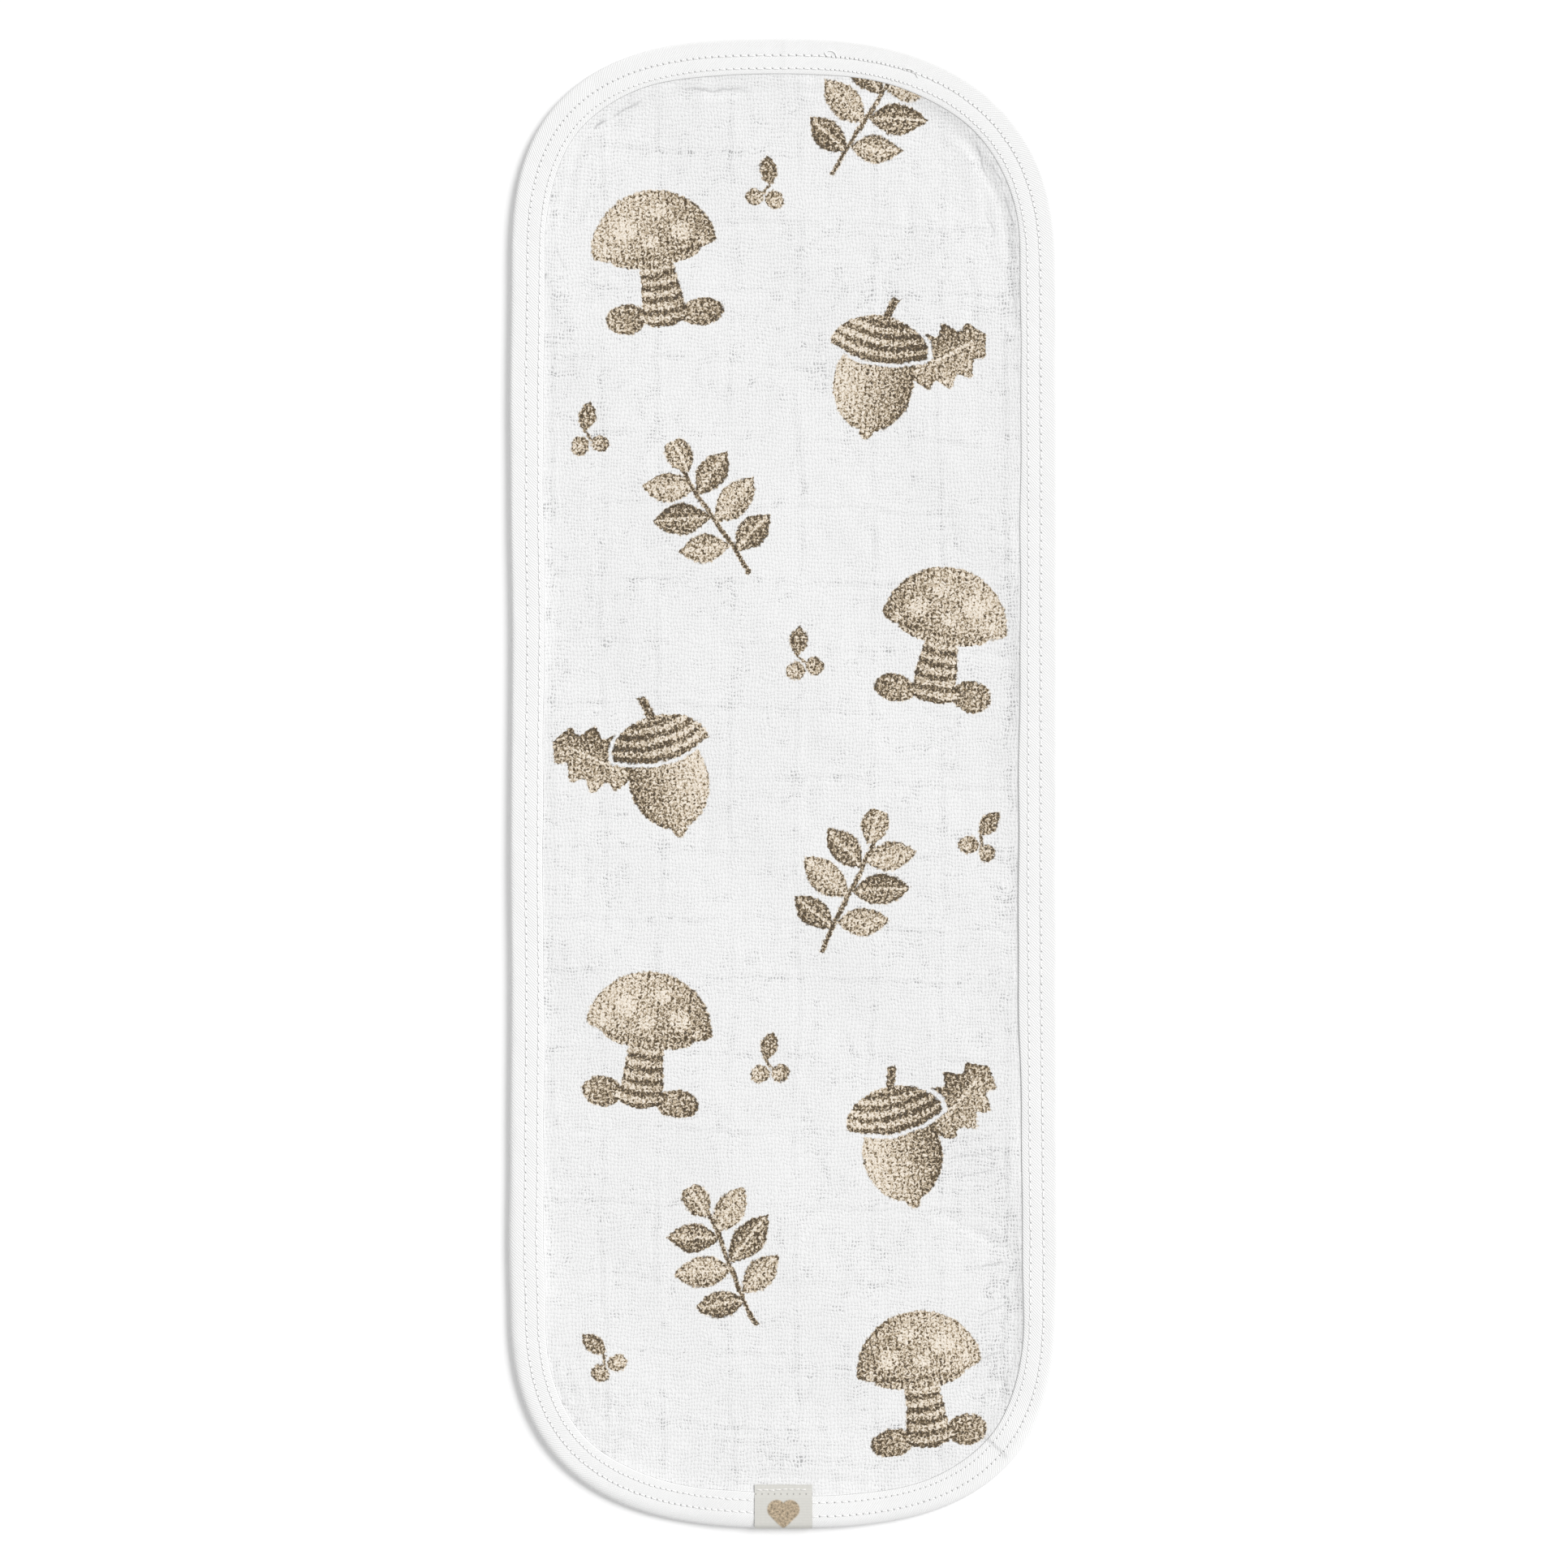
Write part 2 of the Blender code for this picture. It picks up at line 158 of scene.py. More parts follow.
# Ripples that the sewing draws in the muslin, and waves along the edge at the corners
RIPPLE_HIGH = 0.16 * MM
RIPPLE_FADE = 7.5 * MM
WAVE_HIGH = 0.13 * MM
WAVE_PITCH = 5.6 * MM
WAVE_FADE = 16.0 * MM

# Patches where the weave has opened: x, y, size across, size along, how open
OPEN_ROWS = (
    (82.5 * MM, 44.0 * MM, 3.0 * MM, 52.0 * MM, 1.3),
    (82.0 * MM, -44.0 * MM, 4.0 * MM, 24.0 * MM, 1.0),
    (84.0 * MM, 190.0 * MM, 5.0 * MM, 28.0 * MM, 0.6),
    (45.0 * MM, 195.0 * MM, 9.0 * MM, 20.0 * MM, 0.6),
    (40.0 * MM, 172.0 * MM, 20.0 * MM, 12.0 * MM, 0.5),
    (13.0 * MM, 153.0 * MM, 8.0 * MM, 14.0 * MM, 0.5),
    (35.0 * MM, 130.0 * MM, 12.0 * MM, 5.0 * MM, 0.6),
    (-83.0 * MM, 170.0 * MM, 4.0 * MM, 40.0 * MM, 0.7),
    (-82.0 * MM, 48.0 * MM, 5.0 * MM, 26.0 * MM, 0.7),
    (-78.0 * MM, 14.0 * MM, 9.0 * MM, 8.0 * MM, 0.5),
    (-65.0 * MM, 228.0 * MM, 13.0 * MM, 11.0 * MM, 0.6),
    (60.0 * MM, 62.0 * MM, 18.0 * MM, 7.0 * MM, 0.5),
    (52.0 * MM, 16.0 * MM, 16.0 * MM, 5.0 * MM, 0.6),
    (-84.0 * MM, -12.0 * MM, 3.0 * MM, 5.0 * MM, 0.8),
    (44.0 * MM, -60.0 * MM, 8.0 * MM, 6.0 * MM, 0.6),
    (72.0 * MM, -64.0 * MM, 10.0 * MM, 10.0 * MM, 0.6),
    (64.0 * MM, -142.0 * MM, 20.0 * MM, 14.0 * MM, 0.7),
    (82.0 * MM, -176.0 * MM, 8.0 * MM, 42.0 * MM, 0.9),
    (78.0 * MM, -214.0 * MM, 8.0 * MM, 14.0 * MM, 0.9),
    (52.0 * MM, -240.0 * MM, 22.0 * MM, 9.0 * MM, 0.6),
    (0.0 * MM, -243.0 * MM, 16.0 * MM, 10.0 * MM, 1.0),
    (-22.0 * MM, -172.0 * MM, 6.0 * MM, 5.0 * MM, 0.6),
    (-74.0 * MM, -146.0 * MM, 5.0 * MM, 7.0 * MM, 0.8),
    (24.0 * MM, -208.0 * MM, 16.0 * MM, 10.0 * MM, 0.5),
)

# Binding section
FLAP_FLOOR = 0.8 * MM
SLOT_ROOF = 2.3 * MM
SLOT_END = 2.6 * MM
ROLL_SQUARE = 2.8
ROLL_ROUND = 1.95
BINDING_HIGH = 3.5 * MM
ROW_DEPTH = 0.07 * MM
ROW_SPREAD = 0.75 * MM
INNER_DROP = 0.16 * MM
BINDING_STATIONS = 1900
LAP_PLACE = 0.4330
LAP_STEP = 0.46 * MM
LAP_SLANT = 1.0 * MM

# Panel
RIM_INSET = 3.0 * MM
PANEL_HIGH = 2.37 * MM
PANEL_COLUMNS = 156
PANEL_LENGTHS = 496
UNDER_SKIP = 4
PANEL_UNDER_BINDING = 2.0 * MM
# Points of the muslin this near to the binding's inner edge move onto it, or just under the binding
RIM_REACH = 0.62 * MM
RIM_PAST = 0.07 * MM
RIM_UNDER = -0.02 * MM

# Sewing
STITCH_STRAIGHT = 3.0 * MM
STITCH_CORNER = 2.35 * MM
STITCH_TWICE = 1.75 * MM
SEWN_TWICE = (0.0118, 0.0365)
# Beside the label the sewn rows sink out of sight
PLAIN_STRETCH = (0.500, 0.524)
# How dark the painted shade in the needle holes is: on the long sides, how much more at the ends, and where
# it is sewn twice
HOLE_SHADE_SIDES = 0.42
HOLE_SHADE_ENDS_MORE = 0.28
HOLE_SHADE_TWICE = 1.35
HOLE_SHADE_PLAIN_FADE = 0.85
THREAD_RADIUS = 0.21 * MM
TAIL_ROWS = (
    # start, bend and end of each loose thread end
    ((16.0 * MM, 267.3 * MM), (18.6 * MM, 268.0 * MM), (19.2 * MM, 264.9 * MM)),
    ((17.2 * MM, 265.6 * MM), (15.2 * MM, 265.0 * MM), (14.8 * MM, 267.0 * MM)),
    ((43.9 * MM, 260.9 * MM), (47.4 * MM, 261.4 * MM), (48.8 * MM, 257.6 * MM)),
)

# Label
LABEL_WIDTH = 21.0 * MM
LABEL_X = -0.3 * MM
LABEL_THICKNESS = 0.26 * MM
LABEL_CLEAR = 0.06 * MM
LABEL_STITCH = 2.3 * MM
LABEL_LIFT = 0.75 * MM
LABEL_UPPER_END = 16.0 * MM
LABEL_LOWER_END = 14.5 * MM
# The heart's point and its half width, in millimetres
HEART_Y = 6.2
HEART_REACH = 4.9


def smoothstep(t):
    """Easing from 0 to 1: three t squared less two t cubed, with t held between 0 and 1."""
    t = np.clip(t, 0.0, 1.0)
    return t * t * (3.0 - 2.0 * t)


def soft_between(at, places, values):
    """Values between the rows of a table, easing in and out at each row."""
    at, places, values = (np.asarray(a, float) for a in (at, places, values))
    row = np.clip(np.searchsorted(places, at, side="right") - 1, 0, len(places) - 2)
    part = (at - places[row]) / (places[row + 1] - places[row])
    return values[row] + (values[row + 1] - values[row]) * smoothstep(part)


def soft_noise(x, y, size, seed):
    """Smooth noise from -1 to 1: random heights on a square lattice of the given size, eased between."""
    lattice = np.random.default_rng(seed).uniform(-1.0, 1.0, (256, 256))
    gx, gy = x / size + 61.3, y / size + 83.7
    ix, iy = np.floor(gx).astype(int), np.floor(gy).astype(int)
    fx, fy = smoothstep(gx - ix), smoothstep(gy - iy)
    at = lambda i, j: lattice[(ix + i) % 256, (iy + j) % 256]
    low = at(0, 0) * (1 - fx) + at(1, 0) * fx
    high = at(0, 1) * (1 - fx) + at(1, 1) * fx
    return low * (1 - fy) + high * fy


def outline_path():
    """The outer edge as close points, clockwise from the middle of the end at +Y.

    Each corner is a quarter of a superellipse, and each long side is straight but for its wander."""
    quarters = {}
    for side, end, length, squareness in CORNER_ROWS:
        turn = np.linspace(0.0, 0.5 * math.pi, 500)
        x = side * HALF_WIDTH * np.sin(turn) ** (2.0 / squareness)
        y = end * (HALF_LENGTH - length + length * np.cos(turn) ** (2.0 / squareness))
        quarters[side, end] = np.stack([x, y], 1)
    right = np.concatenate([quarters[1, 1], quarters[1, -1][::-1]])
    left = np.concatenate([quarters[-1, 1], quarters[-1, -1][::-1]])
    return np.concatenate([right[:-1], left[::-1]])


def even_loop(path, count):
    """Points at even steps along a closed path, between its own points in straight lines, and its length."""
    distance = np.concatenate([[0.0], np.cumsum(np.hypot(*np.diff(path, axis=0).T))])
    wanted = np.arange(count) * distance[-1] / count
    return np.stack([np.interp(wanted, distance, path[:, k]) for k in (0, 1)], 1), distance[-1]


def with_wander(points):
    """The outline with each long side moved outwards by its table's values, eased along the side."""
    points = points.copy()
    rows = np.array(WANDER_ROWS)
    along = np.clip(points[:, 1], rows[0, 0], rows[-1, 0])
    for side, column in ((-1, 1), (1, 2)):
        out = soft_between(along, rows[:, 0], rows[:, column])
        points[:, 0] += side * out * (points[:, 0] * side > 0.06)
    return points


EDGE, PERIMETER = even_loop(outline_path(), BINDING_STATIONS)
EDGE = with_wander(EDGE)
ALONG = np.roll(EDGE, -1, 0) - np.roll(EDGE, 1, 0)
ALONG /= np.hypot(ALONG[:, 0], ALONG[:, 1])[:, None]
INWARD = np.stack([ALONG[:, 1], -ALONG[:, 0]], 1)
SHARE = np.arange(BINDING_STATIONS) / BINDING_STATIONS


def binding_sizes(share):
    """Width, outer row and inner row of the binding at these shares of the way round.

    The width also ripples by the product of two sine waves."""
    rows = np.array(BINDING_ROWS)
    share = np.mod(share, 1.0)
    wobble = 0.25 * MM * np.sin(2 * math.pi * 23 * share + 1.0) * np.sin(2 * math.pi * 7 * share)
    return [soft_between(share, rows[:, 0], rows[:, k]) + wobble * (k == 1) for k in (1, 2, 3)]


def outer_roll(share):
    """How far in from the edge the binding's fold curves, and how square that curve is."""
    rows = np.array(BINDING_ROWS)
    depth = soft_between(np.mod(share, 1.0), rows[:, 0], rows[:, 4])
    rounder = smoothstep((depth - 1.8 * MM) / (2.0 * MM))
    return depth, ROLL_SQUARE + (ROLL_ROUND - ROLL_SQUARE) * rounder


def muslin_rim(share):
    """At the binding's inner edge: how far the muslin lies below it, and how far in its slope runs."""
    rows = np.array(BINDING_ROWS)
    return [soft_between(np.mod(share, 1.0), rows[:, 0], rows[:, k]) for k in (5, 6)]


def edge_reading(x, y):
    """Inset from the outer edge and share of the way round, for each point.

    The way from the nearest station is split into its parts along that station's two directions."""
    inset, share = np.empty_like(x), np.empty_like(x)
    for start in range(0, len(x), 4000):
        part = slice(start, start + 4000)
        dx = x[part, None] - EDGE[None, :, 0]
        dy = y[part, None] - EDGE[None, :, 1]
        near = np.argmin(dx * dx + dy * dy, 1)
        row = np.arange(len(near))
        px, py = dx[row, near], dy[row, near]
        inset[part] = px * INWARD[near, 0] + py * INWARD[near, 1]
        share[part] = SHARE[near] + (px * ALONG[near, 0] + py * ALONG[near, 1]) / PERIMETER
    return inset, share


def label_lift(x, y):
    """How far the label's lower leaf raises the cloth: fully by the label, easing to nothing 26 mm away."""
    past_x = np.maximum(np.abs(x - LABEL_X) - 14.0 * MM, 0.0)
    past_y = np.maximum(y + HALF_LENGTH - 22.0 * MM, 0.0)
    return LABEL_LIFT * (1.0 - smoothstep(np.hypot(past_x, past_y) / (26.0 * MM)))


def line_distances(x, y):
    """Signed distance to the nearest upright and the nearest level line where the layers are tied."""
    drift = 1.6 * MM * soft_noise(x, y, 45 * MM, 5) + 0.7 * MM * soft_noise(x, y, 8 * MM, 6)
    sway = 1.6 * MM * soft_noise(x, y, 30 * MM, 7) + 0.8 * MM * soft_noise(x, y, 7 * MM, 8)
    level = y + LEVEL_DROP * (x / HALF_WIDTH) + sway
    found = []
    for along, places in ((x + drift, TIED_UPRIGHT_X), (level, TIED_LEVEL_Y)):
        away = np.stack([along - at for at in places])
        nearest = np.argmin(np.abs(away), 0)
        found.append(away[nearest, np.arange(len(x))])
    return found


def muslin_relief(x, y):
    """Height of the muslin's upper face over its mean.

    It sums slanted sine swells, bell-shaped ridges and troughs along the listed folds, a ridge beside
    a trough at each tied line, and three sizes of smooth noise."""
    height = np.zeros_like(x)
    for rise, waves_x, waves_y, phase in SWELL_ROWS:
        height += rise * np.sin(2 * math.pi * (waves_x * x + waves_y * y) + phase)
    for (x0, y0), (x1, y1), rise, spread in CREASE_ROWS:
        run_x, run_y = x1 - x0, y1 - y0
        wavy = 0.8 * MM * soft_noise(x, y, 11 * MM, 21)
        part = np.clip(((x - x0) * run_x + (y - y0) * run_y) / (run_x**2 + run_y**2), 0, 1)
        away = np.hypot(x - x0 - part * run_x, y - y0 - part * run_y) + wavy
        height += rise * np.exp(-((away / spread) ** 2)) * (0.45 + 0.55 * np.sin(math.pi * part) ** 0.5)
    for away, seed in zip(line_distances(x, y), (14, 15)):
        shown = np.clip(0.55 + 0.8 * soft_noise(x, y, 14 * MM, seed), 0.0, 1.2)
        height += TIED_DEPTH * shown * (away / TIED_SPREAD) * np.exp(-((away / TIED_SPREAD) ** 2))
    height += 0.07 * MM * soft_noise(x, y * 0.7, 5.5 * MM, 11)
    height += 0.10 * MM * soft_noise(x * 0.8, y, 13 * MM, 12)
    height += 0.045 * MM * soft_noise(x, y, 3.0 * MM, 13)
    return height


def puckers(past, share, y):
    """Ripples the sewing draws in the muslin: square to the edge all round, and along it at the corners.

    The first are noise stretched inwards, the others sine waves of the distance, and both fade inwards."""
    run = share * PERIMETER
    inside = np.maximum(past, 0.0)
    bend = 1.5 * MM * soft_noise(run, past, 12 * MM, 31)
    ripple = soft_noise(run + bend, past * 0.25, 4.2 * MM, 32)
    ripple += 0.6 * soft_noise(run, past * 0.2, 9 * MM, 33)
    corner = smoothstep((np.abs(y) - 175.0 * MM) / (45.0 * MM))
    wander = 2.6 * MM * soft_noise(run, past, 26 * MM, 34)
    waves = np.sin(2 * math.pi * (past + wander) / WAVE_PITCH)
    waves *= 0.6 + 0.6 * soft_noise(run, past, 18 * MM, 35)
    waves *= corner * smoothstep(past / (3.0 * MM)) * np.exp(-inside / WAVE_FADE)
    return RIPPLE_HIGH * ripple * np.exp(-inside / RIPPLE_FADE) + WAVE_HIGH * waves


def openness(x, y):
    """How open the weave is, from 0 to 1.

    It sums noise of several sizes, streaks along both threads, and bell-shaped tied lines and patches."""
    value = 0.34 + 0.08 * soft_noise(x, y, 16 * MM, 41) + 0.12 * soft_noise(x, y, 5 * MM, 42)
    value += 0.19 * soft_noise(x * 0.2, y, 1.9 * MM, 43) + 0.19 * soft_noise(x, y * 0.2, 1.9 * MM, 44)
    value += 0.16 * soft_noise(x, y, 2.4 * MM, 45)
    value += 0.8 * np.maximum(soft_noise(x, y * 0.7, 3.4 * MM, 46) - 0.62, 0.0)
    for away in line_distances(x, y):
        value += 0.20 * np.exp(-((away / (0.9 * MM)) ** 2))
    for px, py, wide, long, much in OPEN_ROWS:
        value += 0.34 * much * np.exp(-(((x - px) / wide) ** 2) - ((y - py) / long) ** 2)
    return np.clip(value, 0.0, 1.0)


def new_piece(name, points, faces, material):
    """A mesh object at the origin, riding on the cloth's one body. Each array of faces has one face size."""
    mesh = bpy.data.meshes.new(name)
    mesh.vertices.add(len(points))
    mesh.vertices.foreach_set("co", np.asarray(points, np.float32).ravel())
    corners = np.concatenate([np.full(len(part), part.shape[1]) for part in faces])
    mesh.loops.add(int(corners.sum()))
    indices = np.concatenate([part.ravel() for part in faces])
    mesh.loops.foreach_set("vertex_index", indices.astype(np.int32))
    mesh.polygons.add(len(corners))
    mesh.polygons.foreach_set("loop_start", (np.cumsum(corners) - corners).astype(np.int32))
    mesh.polygons.foreach_set("use_smooth", np.full(len(corners), True))
    mesh.update(calc_edges=True)
    mesh.materials.append(material)
    piece = bpy.data.objects.new(name, mesh)
    bpy.context.scene.collection.objects.link(piece)
    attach(piece, "root")
    return piece


def add_value(piece, name, values):
    """One number for each point, for the material to read."""
    attribute = piece.data.attributes.new(name, "FLOAT", "POINT")
    attribute.data.foreach_set("value", np.asarray(values, np.float32))


def add_map(piece, name, corner_values):
    """A UV map from one (u, v) pair for each face corner."""
    layer = piece.data.uv_layers.new(name=name)
    layer.uv.foreach_set("vector", np.asarray(corner_values, np.float32).ravel())


def grid_faces(rows, columns, offset=0, flip=False):
    """Four-sided faces between points that are numbered row by row."""
    i, j = np.meshgrid(np.arange(rows - 1), np.arange(columns - 1), indexing="ij")
    a = (i * columns + j).ravel() + offset
    faces = np.stack([a, a + 1, a + columns + 1, a + columns], 1)
    return faces[:, ::-1] if flip else faces


# Shader building


class Wire:
    """A shader value that adds, multiplies and compares like a number."""

    def __init__(self, tree, socket):
        self.tree, self.socket = tree, socket

    def math(self, operation, *others):
        """A math node with this value first and the others after it."""
        node = self.tree.nodes.new("ShaderNodeMath")
        node.operation = operation
        for place, value in enumerate((self, *others)):
            if isinstance(value, Wire):
                self.tree.links.new(value.socket, node.inputs[place])
            else:
                node.inputs[place].default_value = value
        return Wire(self.tree, node.outputs[0])

    def __add__(self, other):
        return self.math("ADD", other)

    def __sub__(self, other):
        return self.math("SUBTRACT", other)

    def __mul__(self, other):
        return self.math("MULTIPLY", other)

    def __truediv__(self, other):
        return self.math("DIVIDE", other)

    def __neg__(self):
        return self.math("MULTIPLY", -1.0)

    __radd__ = __add__
    __rmul__ = __mul__

    def under(self, other):
        """The other value less this one."""
        return (-self) + other

    def least(self, other):
        return self.math("MINIMUM", other)

    def most(self, other):
        return self.math("MAXIMUM", other)

    def size(self):
        return self.math("ABSOLUTE")

    def squared(self):
        return self.math("MULTIPLY", self)

    def clamped(self):
        return self.math("MINIMUM", 1.0).math("MAXIMUM", 0.0)


class Board:
    """A node group being built, with its inputs and outputs by name."""

    def __init__(self, title, inputs, outputs):
        self.group = bpy.data.node_groups.new(title, "ShaderNodeTree")
        kinds = {"vector": "NodeSocketVector", "value": "NodeSocketFloat"}
        for name, (kind, start) in inputs.items():
            socket = self.group.interface.new_socket(name=name, in_out="INPUT", socket_type=kinds[kind])
            if start is not None:
                socket.default_value = start
        for name, kind in outputs.items():
            self.group.interface.new_socket(name=name, in_out="OUTPUT", socket_type=kinds[kind])
        self.start = self.group.nodes.new("NodeGroupInput")
        self.end = self.group.nodes.new("NodeGroupOutput")

    def wire(self, name):
        return Wire(self.group, self.start.outputs[name])

    def out(self, name, value):
        self.group.links.new(value.socket, self.end.inputs[name])


def put(tree, value, socket):
    """Links a shader value to a socket, or sets the socket to a plain number or colour."""
    if isinstance(value, Wire):
        tree.links.new(value.socket, socket)
    else:
        socket.default_value = value


def vector_math(tree, operation, first, second):
    """Two vectors added, or a vector scaled by a value."""
    node = tree.nodes.new("ShaderNodeVectorMath")
    node.operation = operation
    tree.links.new(first.socket, node.inputs[0])
    tree.links.new(second.socket, node.inputs["Scale" if operation == "SCALE" else 1])
    return Wire(tree, node.outputs["Vector"])


def split(tree, vector):
    """A vector's three parts."""
    node = tree.nodes.new("ShaderNodeSeparateXYZ")
    tree.links.new(vector.socket, node.inputs[0])
    return [Wire(tree, node.outputs[k]) for k in range(3)]


def joined(tree, x, y, z=0.0):
    """A vector, or a colour, from its three parts."""
    node = tree.nodes.new("ShaderNodeCombineXYZ")
    for place, value in enumerate((x, y, z)):
        put(tree, value, node.inputs[place])
    return Wire(tree, node.outputs[0])


def noise(tree, vector, scale, detail=2.0, rough=0.5):
    """Noise from 0 to 1, with this many features per unit."""
    node = tree.nodes.new("ShaderNodeTexNoise")
    tree.links.new(vector.socket, node.inputs["Vector"])
    node.inputs["Scale"].default_value = scale
    node.inputs["Detail"].default_value = detail
    node.inputs["Roughness"].default_value = rough
    return Wire(tree, node.outputs["Fac"])


def placed(tree, vector, location=(0, 0, 0), turn=0.0, scale=(1, 1, 1), kind="TEXTURE"):
    """The vector as seen from a placed, turned and scaled frame."""
    node = tree.nodes.new("ShaderNodeMapping")
    node.vector_type = kind
    tree.links.new(vector.socket, node.inputs["Vector"])
    node.inputs["Location"].default_value = location
    node.inputs["Rotation"].default_value = (0.0, 0.0, turn)
    node.inputs["Scale"].default_value = scale
    return Wire(tree, node.outputs[0])


def in_millimetres(tree, vector, depth=1000.0):
    """The vector in millimetres, or flat where depth is 0."""
    return placed(tree, vector, scale=(1000.0, 1000.0, depth), kind="POINT")


def use(tree, group, **inputs):
    """An instance of a node group, and its outputs by name."""
    node = tree.nodes.new("ShaderNodeGroup")
    node.node_tree = group
    for name, value in inputs.items():
        put(tree, value, node.inputs[name.replace("_", " ")])
    return {socket.name: Wire(tree, socket) for socket in node.outputs}


def mixed(tree, share, first, second):
    """The first colour where the share is 0, and the second where it is 1."""
    node = tree.nodes.new("ShaderNodeMix")
    node.data_type = "RGBA"
    put(tree, share, node.inputs["Factor"])
    put(tree, first, node.inputs[6])
    put(tree, second, node.inputs[7])
    return Wire(tree, node.outputs[2])


def gauze_group():
    """Open plain weave: uneven threads in two directions that pass over and under each other, with gaps."""
    board = Board(
        "Gauze weave",
        {"Vector": ("vector", None), "Openness": ("value", 0.4)},
        {"Height": "value", "Gap": "value", "Fuzz": "value"},
    )
    tree = board.group
    place = in_millimetres(tree, board.wire("Vector"))
    x, y, _ = split(tree, place)
    open_share = board.wire("Openness")
    sway_x = (noise(tree, place, 0.11) - 0.5) * 3.2 + (noise(tree, place, 0.42, 1.0) - 0.5) * 1.1
    shifted = placed(tree, place, location=(37.0, 91.0, 0.0), kind="POINT")
    sway_y = (noise(tree, shifted, 0.10) - 0.5) * 3.6 + (noise(tree, shifted, 0.40, 1.0) - 0.5) * 1.2
    u = (x + sway_x) / 1.22
    v = (y + sway_y) / 1.46
    column, row = u.math("FLOOR"), v.math("FLOOR")
    # Each thread swells and thins along its own length.
    slub_u = noise(tree, joined(tree, column * 7.31, y * 0.21), 1.0, 2.0)
    slub_v = noise(tree, joined(tree, row * 5.77, x * 0.23, 11.0), 1.0, 2.0)
    half_u = slub_u * 0.50 + open_share * -0.17 + 0.145
    half_v = slub_v * 0.50 + open_share * -0.17 + 0.145
    du = (u.math("FRACT") - 0.5).size()
    dv = (v.math("FRACT") - 0.5).size()
    over = ((column + row) * 0.5).math("FRACT") * 2.0
    warp = ((half_u - du) * 5.0 + 0.5).clamped()
    weft = ((half_v - dv) * 5.0 + 0.5).clamped()
    round_u = (du / half_u).squared().under(1.0).most(0.0).math("SQRT")
    round_v = (dv / half_v).squared().under(1.0).most(0.0).math("SQRT")
    high = (round_u * (over * 0.4 + 0.6)).most(round_v * (over * -0.4 + 1.0))
    fuzz = noise(tree, place, 2.6, 2.0, 0.65)
    # Fibres of the layers below close most gaps. Some show, and more where the weave is open.
    chance = tree.nodes.new("ShaderNodeTexWhiteNoise")
    chance.noise_dimensions = "2D"
    tree.links.new(joined(tree, column, row).socket, chance.inputs["Vector"])
    shown = ((Wire(tree, chance.outputs["Value"]) + open_share * 0.64 - 0.94) * 3.0).clamped()
    board.out("Height", high * 0.7 + fuzz * 0.5)
    board.out("Gap", warp.under(1.0) * weft.under(1.0) * shown)
    board.out("Fuzz", fuzz)
    return tree


def fold_shade_group():
    """Painted shade along fine folds of the muslin, each a line that thins out at both ends: 1 in the fold, 0
    beside it.
    """
    board = Board("Fold lines", {"Vector": ("vector", None)}, {"Fold": "value"})
    tree = board.group
    place = in_millimetres(tree, board.wire("Vector"), 0.0)
    sway = (noise(tree, place, 0.13, 2.0) - 0.5) * 4.0
    fold = None
    for (x0, y0), (x1, y1), half, dark in FOLD_SHADE_ROWS:
        own = placed(tree, place, (x0, y0, 0.0), math.atan2(y1 - y0, x1 - x0))
        along, across, _ = split(tree, own)
        share = along / math.hypot(x1 - x0, y1 - y0)
        thin = (share * share.under(1.0) * 5.0).clamped()
        line = within((across + sway).size() - thin * half, 0.30) * thin * dark
        fold = line if fold is None else fold.most(line)
    board.out("Fold", fold)
    return tree


def twill_group():
    """Slanting ribs of a twill, on the strip's own map, with fine crossing threads."""
    board = Board(
        "Twill weave",
        {"Vector": ("vector", None), "Pitch": ("value", 0.75)},
        {"Height": "value", "Tone": "value"},
    )
    tree = board.group
    place = in_millimetres(tree, board.wire("Vector"))
    x, y, _ = split(tree, place)
    sway = (noise(tree, place, 0.35, 2.0) - 0.5) * 1.0
    rib = ((x * 0.72 + y * 0.69 + sway) / board.wire("Pitch") * (2.0 * math.pi)).math("SINE") * 0.5 + 0.5
    cross = ((x * 0.69 - y * 0.72 + sway) / 0.52 * (2.0 * math.pi)).math("SINE") * 0.5 + 0.5
    fuzz = noise(tree, place, 1.9, 3.0, 0.6)
    board.out("Height", rib * (cross * 0.35 + 0.65) + fuzz * 0.5)
    # The tone paints the rib tops a little lighter and between them darker, with tone that follows the fuzz
    board.out("Tone", (rib - 0.5) * 0.025 + (fuzz - 0.5) * 0.05)
    return tree


def within(distance, soft=0.35):
    """1 inside a shape and 0 outside, from its signed distance in millimetres."""
    return (distance / (-2.0 * soft) + 0.5).clamped()


def oval(x, y, at_x, at_y, half_x, half_y):
    """Signed distance, in millimetres, to an oval: its stretched radius less 1, times its mean size."""
    round_x = ((x - at_x) / half_x).squared()
    round_y = ((y - at_y) / half_y).squared()
    return ((round_x + round_y).math("SQRT") - 1.0) * (0.5 * (half_x + half_y))


def leaf_shape(tree, vector, at, turn, length, width):
    """Distance to a pointed leaf, and its own coordinates from stem to tip."""
    own = placed(tree, vector, location=(at[0], at[1], 0.0), turn=turn)
    along, across, _ = split(tree, own)
    middle = along / (0.5 * length) - 1.0
    bulge = middle.squared().under(1.0) * (0.5 * width)
    distance = (across.size() - bulge).most((along - 0.5 * length).size() - 0.5 * length)
    return distance * 0.8, along, across


def layered(layers):
    """Ink mask and tone of shapes laid over each other, from the lowest up: each is darker along its edge."""
    ink, tone = None, None
    for distance, shade, rim in layers:
        mask = within(distance)
        shade = (distance * 0.5 + 1.0).clamped() * rim + shade
        if ink is None:
            ink, tone = mask, mask * shade
        else:
            ink = ink.most(mask)
            tone = tone * mask.under(1.0) + mask * shade
    return ink, tone


